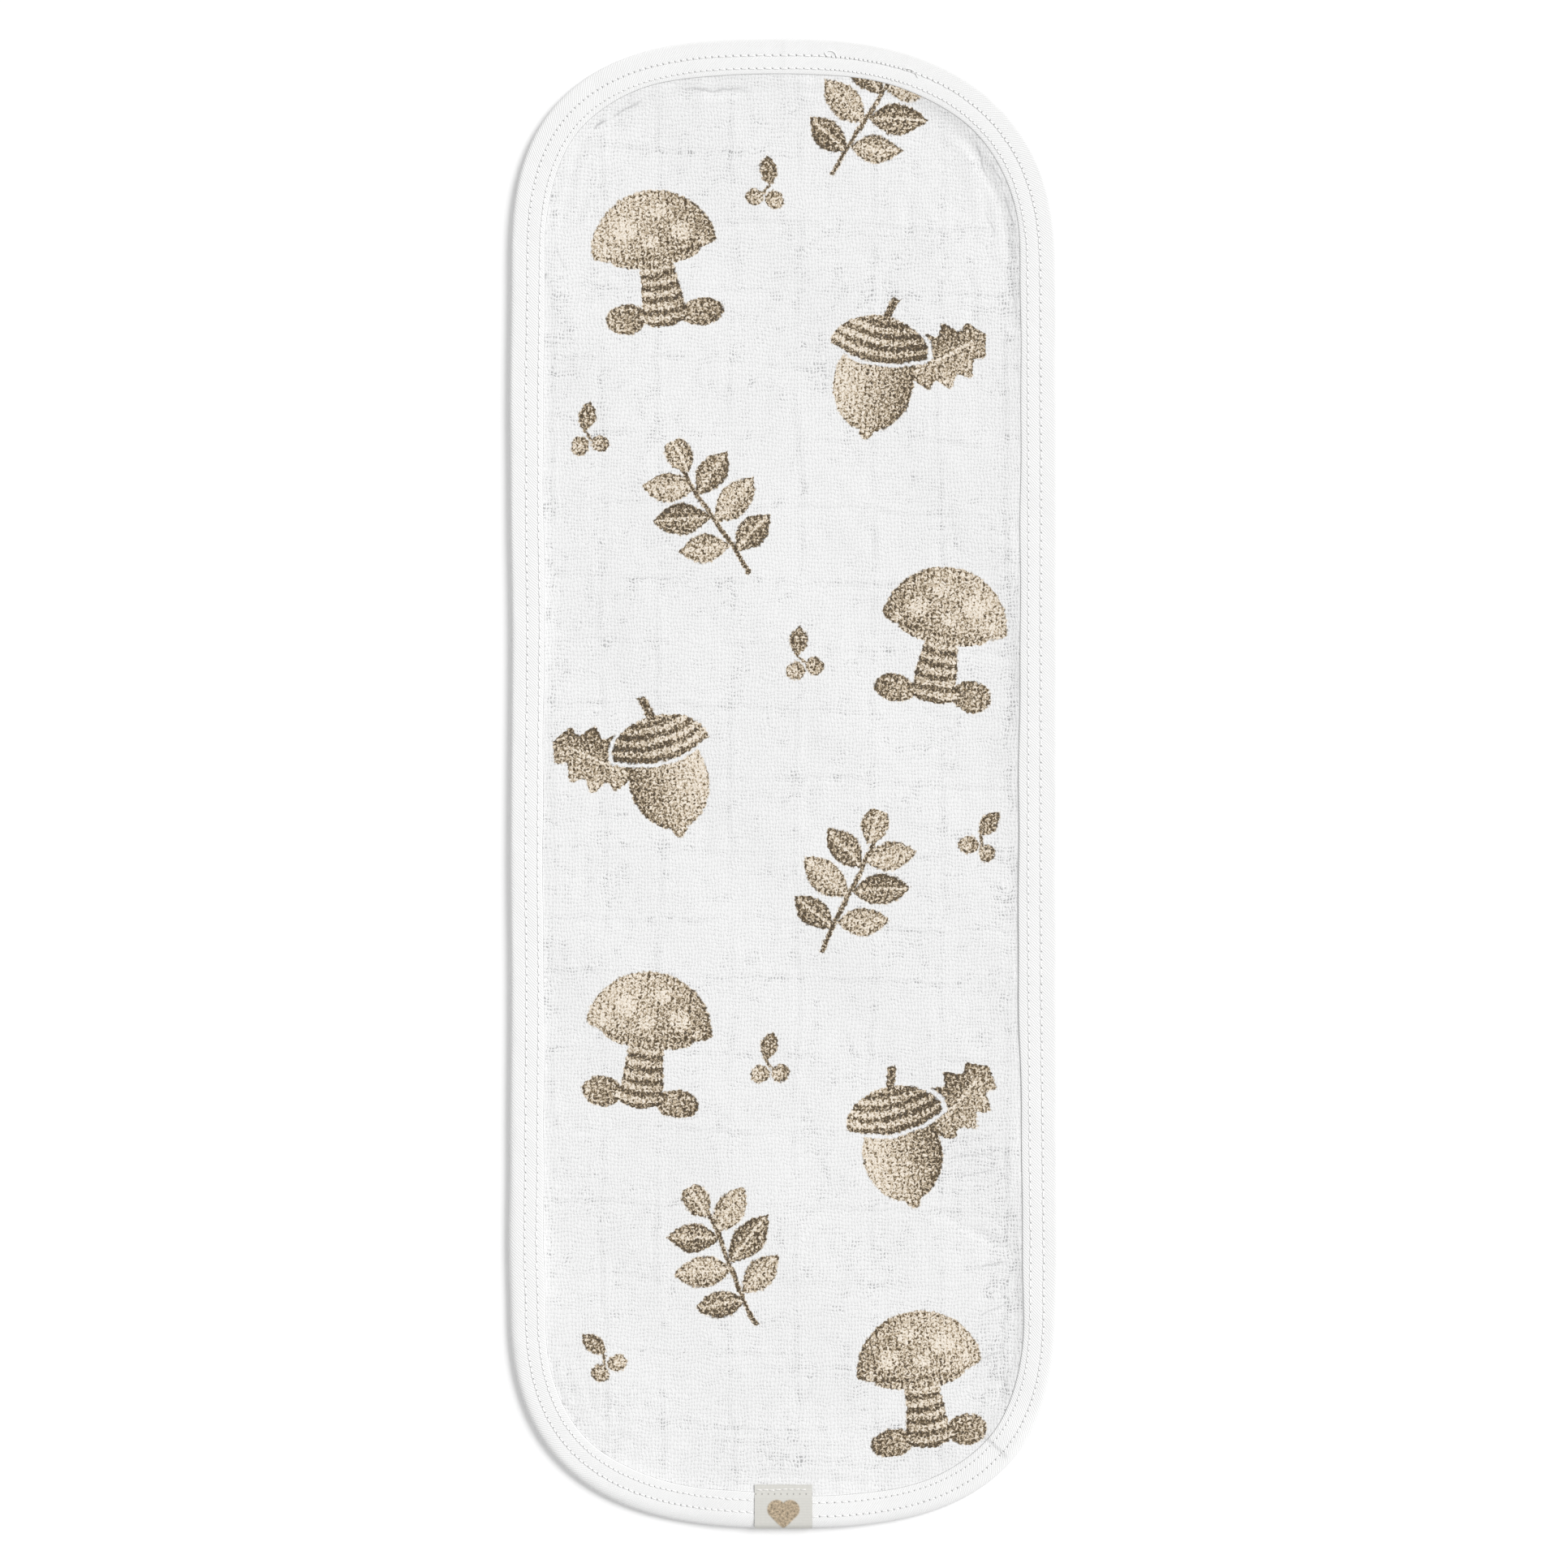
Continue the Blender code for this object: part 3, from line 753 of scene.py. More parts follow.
def knit_group():
    """The drawn knit of the print: columns of small V stitches, dark between them, broken up by specks."""
    board = Board("Knit stipple", {"Vector": ("vector", None)}, {"Grain": "value"})
    tree = board.group
    place = board.wire("Vector")
    x, y, _ = split(tree, place)
    sway = (noise(tree, place, 0.22, 1.0) - 0.5) * 2.4
    column = ((x + sway) / 2.7).math("FRACT")
    off_middle = (column - 0.5).size()
    vee = (((y + off_middle * 2.6 + sway) / 1.55).math("FRACT") - 0.5).size()
    specks = noise(tree, place, 0.9, 2.0, 0.7)
    valley = ((off_middle - 0.34) * 9.0).clamped()
    board.out("Grain", valley * 0.30 + (vee - 0.25) * 0.80 + (specks - 0.51) * 3.2)
    return tree


def motif_board(title):
    """A group for one motif, and its place in millimetres from the middle of the motif."""
    board = Board(title, {"Vector": ("vector", None)}, {"Ink": "value", "Tone": "value"})
    place = board.wire("Vector")
    tree = board.group
    x, y, _ = split(tree, place)
    return board, tree, place, x, y


def finish_motif(board, layers, bare=None):
    """Puts out the layers' ink and tone, without ink where bare is 1."""
    ink, tone = layered(layers)
    board.out("Ink", ink if bare is None else ink * bare.under(1.0))
    board.out("Tone", tone)
    return board.group


def stripes(position, pitch, share):
    """1 on each dark stripe and 0 between, softly."""
    wave = (position / pitch).math("FRACT")
    return within(((wave - 0.5).size() - 0.5 * share) * pitch, 0.3)


def toadstool_group():
    """A toadstool: a domed cap with pale spots, a striped stalk and two tufts at its foot."""
    board, tree, place, x, y = motif_board("Toadstool print")
    brim = (x / 27.0).squared().under(1.0).most(0.0).math("SQRT") * -5.5 + 5.0
    dome = oval(x, y, 0.0, 3.0, 27.0, 26.0).most(brim - y)
    spots = oval(x, y, -11.0, 14.0, 5.2, 4.6)
    more_spots = (
        # x, y, half width
        (4.0, 19.5, 3.8),
        (12.5, 10.0, 4.8),
        (-1.5, 7.0, 3.2),
        (-20.0, 6.0, 2.6),
        (21.0, 4.2, 2.2),
    )
    for at_x, at_y, size in more_spots:
        spots = spots.least(oval(x, y, at_x, at_y, size, size * 0.86))
    gills = oval(x, y, 0.0, 1.6, 19.5, 5.6).most(y - 3.5)
    waist = (y + 27.0) * -0.10 + 9.8
    stalk = (x.size() - waist).most(y + 2.2).most((y + 26.0) * -1.0)
    foot = oval(x, y, 0.0, -24.5, 10.8, 5.0)
    bend = y + (x / 10.0).squared() * -1.6
    left_tuft = oval(x, y, -16.5, -24.0, 8.6, 6.6)
    right_tuft = oval(x, y, 16.0, -25.5, 9.2, 6.0)
    return finish_motif(board, [
        (left_tuft, (x + 16.5) * 0.016 + 0.50, 0.25),
        (right_tuft, (x - 16.0) * 0.016 + 0.52, 0.25),
        (stalk.least(foot), stripes(bend, 5.2, 0.48) * 0.48 + (x * 0.010 + 0.26), 0.15),
        (gills, stripes(x, 2.3, 0.45) * 0.35 + 0.25, 0.10),
        (dome, x * 0.007 + y * -0.004 + 0.40, 0.28),
        (spots, x * 0.004 + 0.05, 0.12),
    ])


def acorn_group():
    """An acorn with a striped cup and a lobed leaf behind it, and a thin bare line between its parts."""
    board, tree, place, x, y = motif_board("Acorn print")
    nut = oval(x, y, -5.0, -8.0, 17.0, 20.5).least(oval(x, y, -4.5, -27.5, 3.4, 4.6))
    cup = oval(x, y, -5.0, 7.0, 21.0, 14.0).most((y * -1.0) + (x + 5.0).squared() * 0.012 + 1.0)
    stalk = ((x + 5.0 + (y - 18.0) * -0.28).size() - 2.0).most((y - 24.5).size() - 5.0)
    leaf, along, across = leaf_shape(tree, place, (7.0, -4.0), math.radians(38.0), 42.0, 23.0)
    leaf = leaf + ((along * (2.0 * math.pi / 9.5)).math("SINE") * 1.7)
    vein = (across.size() - 0.6).most((along - 18.0).size() - 16.0)
    bend = y + (x + 5.0).squared() * -0.011
    line = within(cup - 1.5) * within(cup).under(1.0) * within(stalk).under(1.0)
    return finish_motif(board, [
        (leaf, across * 0.018 + 0.50, 0.28),
        (vein, 0.10, 0.0),
        (nut, (x + 5.0) * 0.018 + 0.34, 0.30),
        (cup, stripes(bend, 5.0, 0.50) * 0.48 + ((x + 5.0) * 0.010 + 0.27), 0.15),
        (stalk, 0.68, 0.1),
    ], line)


def sprig_group():
    """A sprig: a bowed stem with pairs of broad leaves, by turns pale and dark."""
    board, tree, place, x, y = motif_board("Leaf sprig print")
    bow = (y * 0.055).math("SINE") * 3.2
    stem = ((x - bow).size() - 1.1).most(y.size() - 29.0)
    layers = [(stem, 0.72, 0.0)]
    leaves = (
        # x, y, turn in degrees, length, width, tone
        (1.0, 22.0, 88.0, 19.0, 12.0, 0.40),
        (1.8, 15.0, 28.0, 23.0, 13.0, 0.30),
        (1.8, 12.0, 150.0, 23.0, 13.0, 0.56),
        (0.6, 0.5, 22.0, 26.0, 14.0, 0.58),
        (0.0, -2.5, 156.0, 26.0, 14.0, 0.34),
        (-1.6, -14.0, 18.0, 23.0, 12.5, 0.36),
        (-2.0, -17.0, 160.0, 22.0, 12.5, 0.58),
    )
    for at_x, at_y, turn, length, width, shade in leaves:
        distance, along, across = leaf_shape(tree, place, (at_x, at_y), math.radians(turn), length, width)
        vein = (across.size() - 0.5).most((along - 0.5 * length).size() - 0.42 * length)
        layers.append((distance, across * 0.016 + shade, 0.28))
        layers.append((vein, 0.06, 0.0))
    return finish_motif(board, layers)


def berry_group():
    """A small filler: two berries and a leaf."""
    board, tree, place, x, y = motif_board("Berry print")
    leaf, along, across = leaf_shape(tree, place, (-1.0, 1.0), math.radians(62.0), 13.0, 8.0)
    stem = ((x + 1.0 + (y - 2.0) * 0.35).size() - 0.8).most((y + 1.5).size() - 4.0)
    return finish_motif(board, [
        (stem, 0.66, 0.0),
        (leaf, across * 0.02 + 0.54, 0.2),
        (oval(x, y, -4.5, -4.5, 4.2, 4.0), (x + 4.5) * 0.03 + 0.34, 0.28),
        (oval(x, y, 4.0, -6.0, 3.9, 3.9), (x - 4.0) * 0.03 + 0.40, 0.28),
    ])


def print_group(motifs, knit):
    """The whole print: each motif placed and turned, with edges that follow the weave's unevenness.

    A motif is drawn once for all its places: it gets the sum of each place's coordinates, masked to it."""
    board = Board("Woodland print", {"Vector": ("vector", None)}, {"Ink": "value", "Tone": "value"})
    tree = board.group
    place = in_millimetres(tree, board.wire("Vector"), 0.0)
    x, y, _ = split(tree, place)
    ragged_x = (noise(tree, place, 0.75, 2.0) - 0.5) * 2.2 + (noise(tree, place, 0.12, 1.0) - 0.5) * 1.6
    shifted = placed(tree, place, location=(51.0, 17.0, 0.0), kind="POINT")
    ragged_y = (noise(tree, shifted, 0.75, 2.0) - 0.5) * 2.2 + (noise(tree, shifted, 0.12, 1.0) - 0.5) * 1.6
    place = joined(tree, x + ragged_x, y + ragged_y)
    ink, tone, own_all = None, None, None
    for name, motif in motifs.items():
        own_here, covered = None, None
        for row_name, at_x, at_y, turn, size, flip in MOTIF_ROWS:
            if row_name != name:
                continue
            own = placed(tree, place, (at_x, at_y, 0.0), math.radians(turn), (size * flip, size, 1.0))
            far = tree.nodes.new("ShaderNodeVectorMath")
            far.operation = "LENGTH"
            tree.links.new(own.socket, far.inputs[0])
            inside = Wire(tree, far.outputs["Value"]).math("LESS_THAN", MOTIF_REACH[name])
            own = vector_math(tree, "SCALE", own, inside)
            own_here = own if own_here is None else vector_math(tree, "ADD", own_here, own)
            covered = inside if covered is None else covered + inside
        found = use(tree, motif, Vector=own_here)
        found_ink = found["Ink"] * covered
        found_tone = found["Tone"] * covered
        if ink is None:
            ink, tone, own_all = found_ink, found_tone, own_here
        else:
            tone = tone * found_ink.under(1.0) + found_tone
            ink = ink.most(found_ink)
            own_all = vector_math(tree, "ADD", own_all, own_here)
    grain = use(tree, knit, Vector=own_all)["Grain"]
    board.out("Ink", ink)
    board.out("Tone", tone + grain)
    return tree


# The print: motif, x and y of its middle in millimetres, turn in degrees, size, and 1 or -1 for its way round
MOTIF_ROWS = (
    ("sprig", 30.0, 243.0, -24.0, 0.84, 1),
    ("toadstool", -47.0, 192.0, 9.0, 0.86, 1),
    ("acorn", 38.0, 152.0, -10.0, 0.86, 1),
    ("sprig", -26.0, 97.0, 26.0, 0.84, -1),
    ("toadstool", 58.0, 54.0, -10.0, 0.86, -1),
    ("acorn", -48.0, 6.0, 14.0, 0.86, -1),
    ("sprig", 24.0, -40.0, -18.0, 0.84, 1),
    ("toadstool", -50.0, -94.0, -7.0, 0.86, 1),
    ("acorn", 46.0, -128.0, 12.0, 0.86, 1),
    ("sprig", -20.0, -176.0, 30.0, 0.84, 1),
    ("toadstool", 50.0, -218.0, 8.0, 0.86, -1),
    ("berry", -6.0, 218.0, -20.0, 0.85, -1),
    ("berry", -72.0, 128.0, 16.0, 0.85, 1),
    ("berry", 6.0, 46.0, 24.0, 0.85, 1),
    ("berry", 72.0, -20.0, -14.0, 0.85, 1),
    ("berry", -6.0, -102.0, 12.0, 0.85, 1),
    ("berry", -66.0, -210.0, 22.0, 0.85, -1),
)
# How far each motif reaches from its middle, in millimetres
MOTIF_REACH = {"toadstool": 39.0, "acorn": 44.0, "sprig": 38.0, "berry": 16.0}


def new_material(title, roughness):
    """A material with this roughness and a weak highlight."""
    material = bpy.data.materials.new(title)
    material.use_nodes = True
    tree = material.node_tree
    shader = tree.nodes["Principled BSDF"]
    shader.inputs["Roughness"].default_value = roughness
    shader.inputs["Specular IOR Level"].default_value = 0.25
    return material, tree, shader


def object_place(tree):
    """The place on the object, in metres."""
    return Wire(tree, tree.nodes.new("ShaderNodeTexCoord").outputs["Object"])


def map_place(tree, name):
    """The place on one of the piece's own maps."""
    node = tree.nodes.new("ShaderNodeUVMap")
    node.uv_map = name
    return Wire(tree, node.outputs["UV"])


def bumped(tree, shader, height, distance, strength=1.0):
    """Tilts the shader's normal by the slope of a height."""
    node = tree.nodes.new("ShaderNodeBump")
    node.inputs["Strength"].default_value = strength
    node.inputs["Distance"].default_value = distance
    tree.links.new(height.socket, node.inputs["Height"])
    tree.links.new(node.outputs["Normal"], shader.inputs["Normal"])


def ramp(tree, value, stops):
    """Colours along a value, from a table of places and colours."""
    node = tree.nodes.new("ShaderNodeValToRGB")
    elements = node.color_ramp.elements
    while len(elements) < len(stops):
        elements.new(0.5)
    for element, (place, colour) in zip(elements, stops):
        element.position = place
        element.color = (*colour, 1.0)
    tree.links.new(value.socket, node.inputs["Fac"])
    return Wire(tree, node.outputs["Color"])


def muslin_material(gauze, folds, woodland):
    """White weave with painted shade in its gaps and along its fine folds, with the print where the cloth
    faces up; the print has a painted highlight on the thread tops and painted shade in the gaps.
    """
    material, tree, shader = new_material("Printed muslin", 0.95)
    place = object_place(tree)
    attribute = tree.nodes.new("ShaderNodeAttribute")
    attribute.attribute_name = "open_weave"
    open_share = Wire(tree, attribute.outputs["Fac"])
    weave = use(tree, gauze, Vector=place, Openness=open_share)
    gap, fuzz, high = weave["Gap"], weave["Fuzz"], weave["Height"]
    fold = use(tree, folds, Vector=place)["Fold"]
    # Painted shade: grey in the weave's gaps, more where the weave is open, and along the fine folds
    depth = (gap * (open_share * 0.8 + 0.54)).most(fold * (fuzz * 1.1 + 0.1))
    shaded_white = mixed(tree, depth.clamped(), (0.808, 0.808, 0.808, 1.0), (0.40, 0.40, 0.405, 1.0))
    found = use(tree, woodland, Vector=place)
    # The print's tone, with painted shade in the weave's gaps and a painted highlight on the thread tops
    grain = found["Tone"] + gap * 0.30 + (high - 0.7) * -0.25
    ink = ramp(tree, grain, (
        (0.0, (0.84, 0.765, 0.665)),
        (0.20, (0.715, 0.617, 0.492)),
        (0.46, (0.485, 0.387, 0.264)),
        (0.66, (0.128, 0.086, 0.040)),
        (1.0, (0.062, 0.042, 0.022)),
    ))
    facing = tree.nodes.new("ShaderNodeNewGeometry")
    level = split(tree, Wire(tree, facing.outputs["Normal"]))[2]
    shown = found["Ink"] * (level * 4.0).clamped() * (fuzz * 0.6 + 0.68).clamped()
    colour = mixed(tree, shown, shaded_white, ink)
    tree.links.new(colour.socket, shader.inputs["Base Color"])
    bumped(tree, shader, high, 0.00016)
    return material


def twill_material(twill):
    """White twill with painted shade in each needle hole of its two sewn rows."""
    material, tree, shader = new_material("White twill", 0.85)
    strip = use(tree, twill, Vector=map_place(tree, "Strip"), Pitch=0.75)
    count, across, _ = split(tree, map_place(tree, "Rows"))
    between = (count.math("FRACT") - 0.5).size()
    hole_along = within(between - 0.085, 0.045)
    near_row = (across - 1.0).size().least((across - 2.0).size())
    hole = hole_along * within(near_row - 0.055, 0.03)
    base = strip["Tone"] + 0.845
    grey = joined(tree, base, base, base * 0.997)
    hole_shade_strength = tree.nodes.new("ShaderNodeAttribute")
    hole_shade_strength.attribute_name = "needle_hole_shade"
    # Painted shade in the needle holes, as strong as each station's value
    hole_shade = (hole * Wire(tree, hole_shade_strength.outputs["Fac"])).clamped()
    colour = mixed(tree, hole_shade, grey, (0.27, 0.27, 0.275, 1.0))
    tree.links.new(colour.socket, shader.inputs["Base Color"])
    bumped(tree, shader, strip["Height"] + hole * -2.5, 0.00010)
    return material


def thread_material(title, tone, warmth):
    """Spun cotton thread in a pale tone, with fine fibres."""
    material, tree, shader = new_material(title, 0.6)
    place = object_place(tree)
    fibre = noise(tree, place, 5200.0, 2.0)
    base = fibre * 0.10 + tone
    colour = joined(tree, base, base * (1.0 - 0.4 * warmth), base * (1.0 - warmth))
    tree.links.new(colour.socket, shader.inputs["Base Color"])
    bumped(tree, shader, fibre, 0.00006)
    return material


def tape_material():
    """Grey-beige woven tape: fine ribs across with their tops painted a little lighter, a small plain heart
    in brown, and painted shade in its needle holes.
    """
    material, tree, shader = new_material("Woven tape", 0.7)
    place = in_millimetres(tree, map_place(tree, "Tape"))
    x, y, _ = split(tree, place)
    ribs = (y * (2.0 * math.pi / 0.42)).math("SINE") * 0.5 + 0.5
    ends = (x * (2.0 * math.pi / 0.36)).math("SINE") * 0.5 + 0.5
    fuzz = noise(tree, place, 1.1, 3.0)
    # The rib tops are painted a little lighter
    base = fuzz * 0.06 + ribs * 0.03 + 0.595
    ground = joined(tree, base, base * 0.985, base * 0.925)
    # The heart: a square on its corner with a round on each of its upper sides
    side = x.size()
    off_x, off_y = side - 0.5 * HEART_REACH, y - (HEART_Y + 0.5 * HEART_REACH)
    rounds = (off_x.squared() + off_y.squared()).math("SQRT") - math.sqrt(0.5) * HEART_REACH
    square = (side + (y - HEART_Y).size() - HEART_REACH) * math.sqrt(0.5)
    heart = rounds.least(square)
    mark = within(heart, 0.3)
    specks = noise(tree, place, 1.05, 2.0, 0.7)
    # The heart's brown is also painted a little lighter on the rib tops
    shade = (specks - 0.5) * 1.2 + ribs * 0.04 + 0.41
    brown = joined(tree, shade, shade * 0.80, shade * 0.56)
    colour = mixed(tree, mark, ground, brown)
    # Painted shade in the needle holes between the stitches of the upper end
    gap = ((x + 0.5 * LABEL_WIDTH / MM - 0.38) / (LABEL_STITCH / MM)).math("FRACT").under(0.5)
    hole = within(gap.size() - 0.40, 0.05).under(1.0) * within((y - 14.2).size() - 0.30, 0.12)
    colour = mixed(tree, hole * 0.6, colour, (0.16, 0.15, 0.14, 1.0))
    tree.links.new(colour.socket, shader.inputs["Base Color"])
    bumped(tree, shader, ribs + ends * 0.5 + fuzz + mark * 1.5, 0.00004)
    return material


# Shapes


def make_panel(material):
    """The muslin as one closed sheet: a patch stretched between four runs of its rim, doubled and closed.

    A point of the patch is the blend of both pairs of opposite runs, less the blend of the four corners."""
    rim = EDGE + RIM_INSET * INWARD
    count = len(rim)
    # The patch's four corners lie in the middle of the cloth's round ones
    turns = []
    for side, end in ((1, 1), (1, -1), (-1, -1), (-1, 1)):
        corner = np.array([side * HALF_WIDTH * 0.83, end * (HALF_LENGTH - 26.0 * MM)])
        turns.append(int(np.argmin(np.hypot(*(rim - corner).T))))
    upper_right, lower_right, lower_left, upper_left = turns

    def run(start, stop, steps):
        stop = stop + count if stop < start else stop
        wanted = np.linspace(start, stop, steps + 1)
        low = np.floor(wanted).astype(int)
        part = (wanted - low)[:, None]
        return rim[low % count] * (1 - part) + rim[(low + 1) % count] * part

    top = run(upper_left, upper_right, PANEL_COLUMNS)
    right = run(upper_right, lower_right, PANEL_LENGTHS)
    bottom = run(lower_right, lower_left, PANEL_COLUMNS)[::-1]
    left = run(lower_left, upper_left, PANEL_LENGTHS)[::-1]
    u = np.linspace(0, 1, PANEL_COLUMNS + 1)[None, :, None]
    v = np.linspace(0, 1, PANEL_LENGTHS + 1)[:, None, None]
    flat = (1 - v) * top[None] + v * bottom[None] + (1 - u) * left[:, None] + u * right[:, None]
    flat -= (1 - v) * ((1 - u) * top[0] + u * top[-1]) + v * ((1 - u) * bottom[0] + u * bottom[-1])
    x, y = flat.reshape(-1, 2).T
    inset, share = edge_reading(x, y)
    sizes = binding_sizes(share)
    past = inset - sizes[0]
    drawn = np.where(np.abs(past) < RIM_REACH, RIM_PAST, past)
    drawn = np.where(np.abs(past + 2 * RIM_REACH) < RIM_REACH, RIM_UNDER, drawn)
    near = np.round(np.mod(share, 1.0) * BINDING_STATIONS).astype(int) % BINDING_STATIONS
    x = x + INWARD[near, 0] * (drawn - past)
    y = y + INWARD[near, 1] * (drawn - past)
    past = drawn
    lift = label_lift(x, y)
    drop, slope = muslin_rim(share)
    rim_high = binding_top(sizes[0] - 0.4 * MM, share, sizes) - drop
    over = PANEL_HIGH + (rim_high - PANEL_HIGH) * np.exp(-np.maximum(past, 0.0) / slope)
    over = np.where(past > 0.0, over, PANEL_UNDER_BINDING) + lift
    over += muslin_relief(x, y) * smoothstep(past / (3.5 * MM))
    over += puckers(past, share, y) * smoothstep(past / (2.0 * MM) + 0.3) * (past > 0.0)
    under = 1.1 * MM * (1 - smoothstep((past - 0.3 * MM) / (6.0 * MM))) + lift
    rows, columns = PANEL_LENGTHS + 1, PANEL_COLUMNS + 1
    upper = np.arange(rows * columns).reshape(rows, columns)
    kept = upper[::UNDER_SKIP].ravel()
    points = np.concatenate([np.stack([x, y, over], 1), np.stack([x, y, under], 1)[kept]])
    lower = rows * columns + np.arange(len(kept)).reshape(-1, columns)
    walls = []
    for first, second in ((upper[0], lower[0]), (upper[-1, ::-1], lower[-1, ::-1])):
        walls.append(np.stack([first[:-1], first[1:], second[1:], second[:-1]], 1))
    fans = []
    for first, second in ((upper[:, -1], lower[:, -1]), (upper[::-1, 0], lower[::-1, 0])):
        step = np.arange(rows - 1)
        fans.append(np.stack([first[step], first[step + 1], second[step // UNDER_SKIP]], 1))
        ends = np.arange(1, len(second))
        fans.append(np.stack([second[ends - 1], first[ends * UNDER_SKIP], second[ends]], 1))
    faces = [
        grid_faces(rows, columns, flip=True),
        grid_faces(len(lower), columns, rows * columns),
        *walls,
        *fans,
    ]
    piece = new_piece("muslin_cloth", points, faces, material)
    open_share = openness(x, y)
    add_value(piece, "open_weave", np.concatenate([open_share, open_share[kept]]))
    piece.data.set_sharp_from_angle(angle=math.radians(50.0))
    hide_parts("muslin_panel")
    return piece


def stitch_counts():
    """Running count of stitches at each station: closer together round the corners."""
    bend = np.abs(np.diff(np.unwrap(np.arctan2(ALONG[:, 1], ALONG[:, 0])), append=0.0))
    bend[-1] = bend[-2]
    bend = np.convolve(np.tile(bend, 3), np.ones(61) / 61, "same")[len(bend):2 * len(bend)]
    curved = smoothstep((bend - 0.002) / 0.003)
    pitch = STITCH_STRAIGHT + (STITCH_CORNER - STITCH_STRAIGHT) * curved
    pitch = np.where((SHARE > SEWN_TWICE[0]) & (SHARE < SEWN_TWICE[1]), STITCH_TWICE, pitch)
    count = np.concatenate([[0.0], np.cumsum(PERIMETER / BINDING_STATIONS / pitch)])
    return count * round(count[-1]) / count[-1]


def lap_height(share, inset):
    """Where the strip's ends overlap it is thicker, and this ends in a step across the binding."""
    run = (share - LAP_PLACE) * PERIMETER + (inset / (13.0 * MM) - 0.5) * LAP_SLANT
    return LAP_STEP * smoothstep(0.5 - run / (0.6 * MM)) * smoothstep((run + 20.0 * MM) / (12.0 * MM))


def binding_top(inset, share, sizes):
    """Height of the binding's upper face: soft ridges beside two sewn rows, uneven along its length."""
    width, outer_row, inner_row = sizes
    run = share * PERIMETER
    depth, square = outer_roll(share)
    roll = np.clip(inset / depth, 0.0, 1.0)
    height = BINDING_HIGH * 0.5 * (1 + (1 - (1 - roll) ** square) ** (1 / square))
    for row in (outer_row, inner_row):
        height = height - ROW_DEPTH * np.exp(-(((inset - row) / ROW_SPREAD) ** 2))
    height = height - INNER_DROP * smoothstep((inset - inner_row) / (width - inner_row))
    fade = smoothstep(inset / (1.5 * MM))
    ripple = soft_noise(run, inset * 0.35, 5.0 * MM, 51) * 0.05 * MM
    ripple = ripple + soft_noise(run + inset * 0.8, inset * 0.3, 12 * MM, 52) * 0.07 * MM
    height = height + ripple * fade + lap_height(share, inset)
    return height


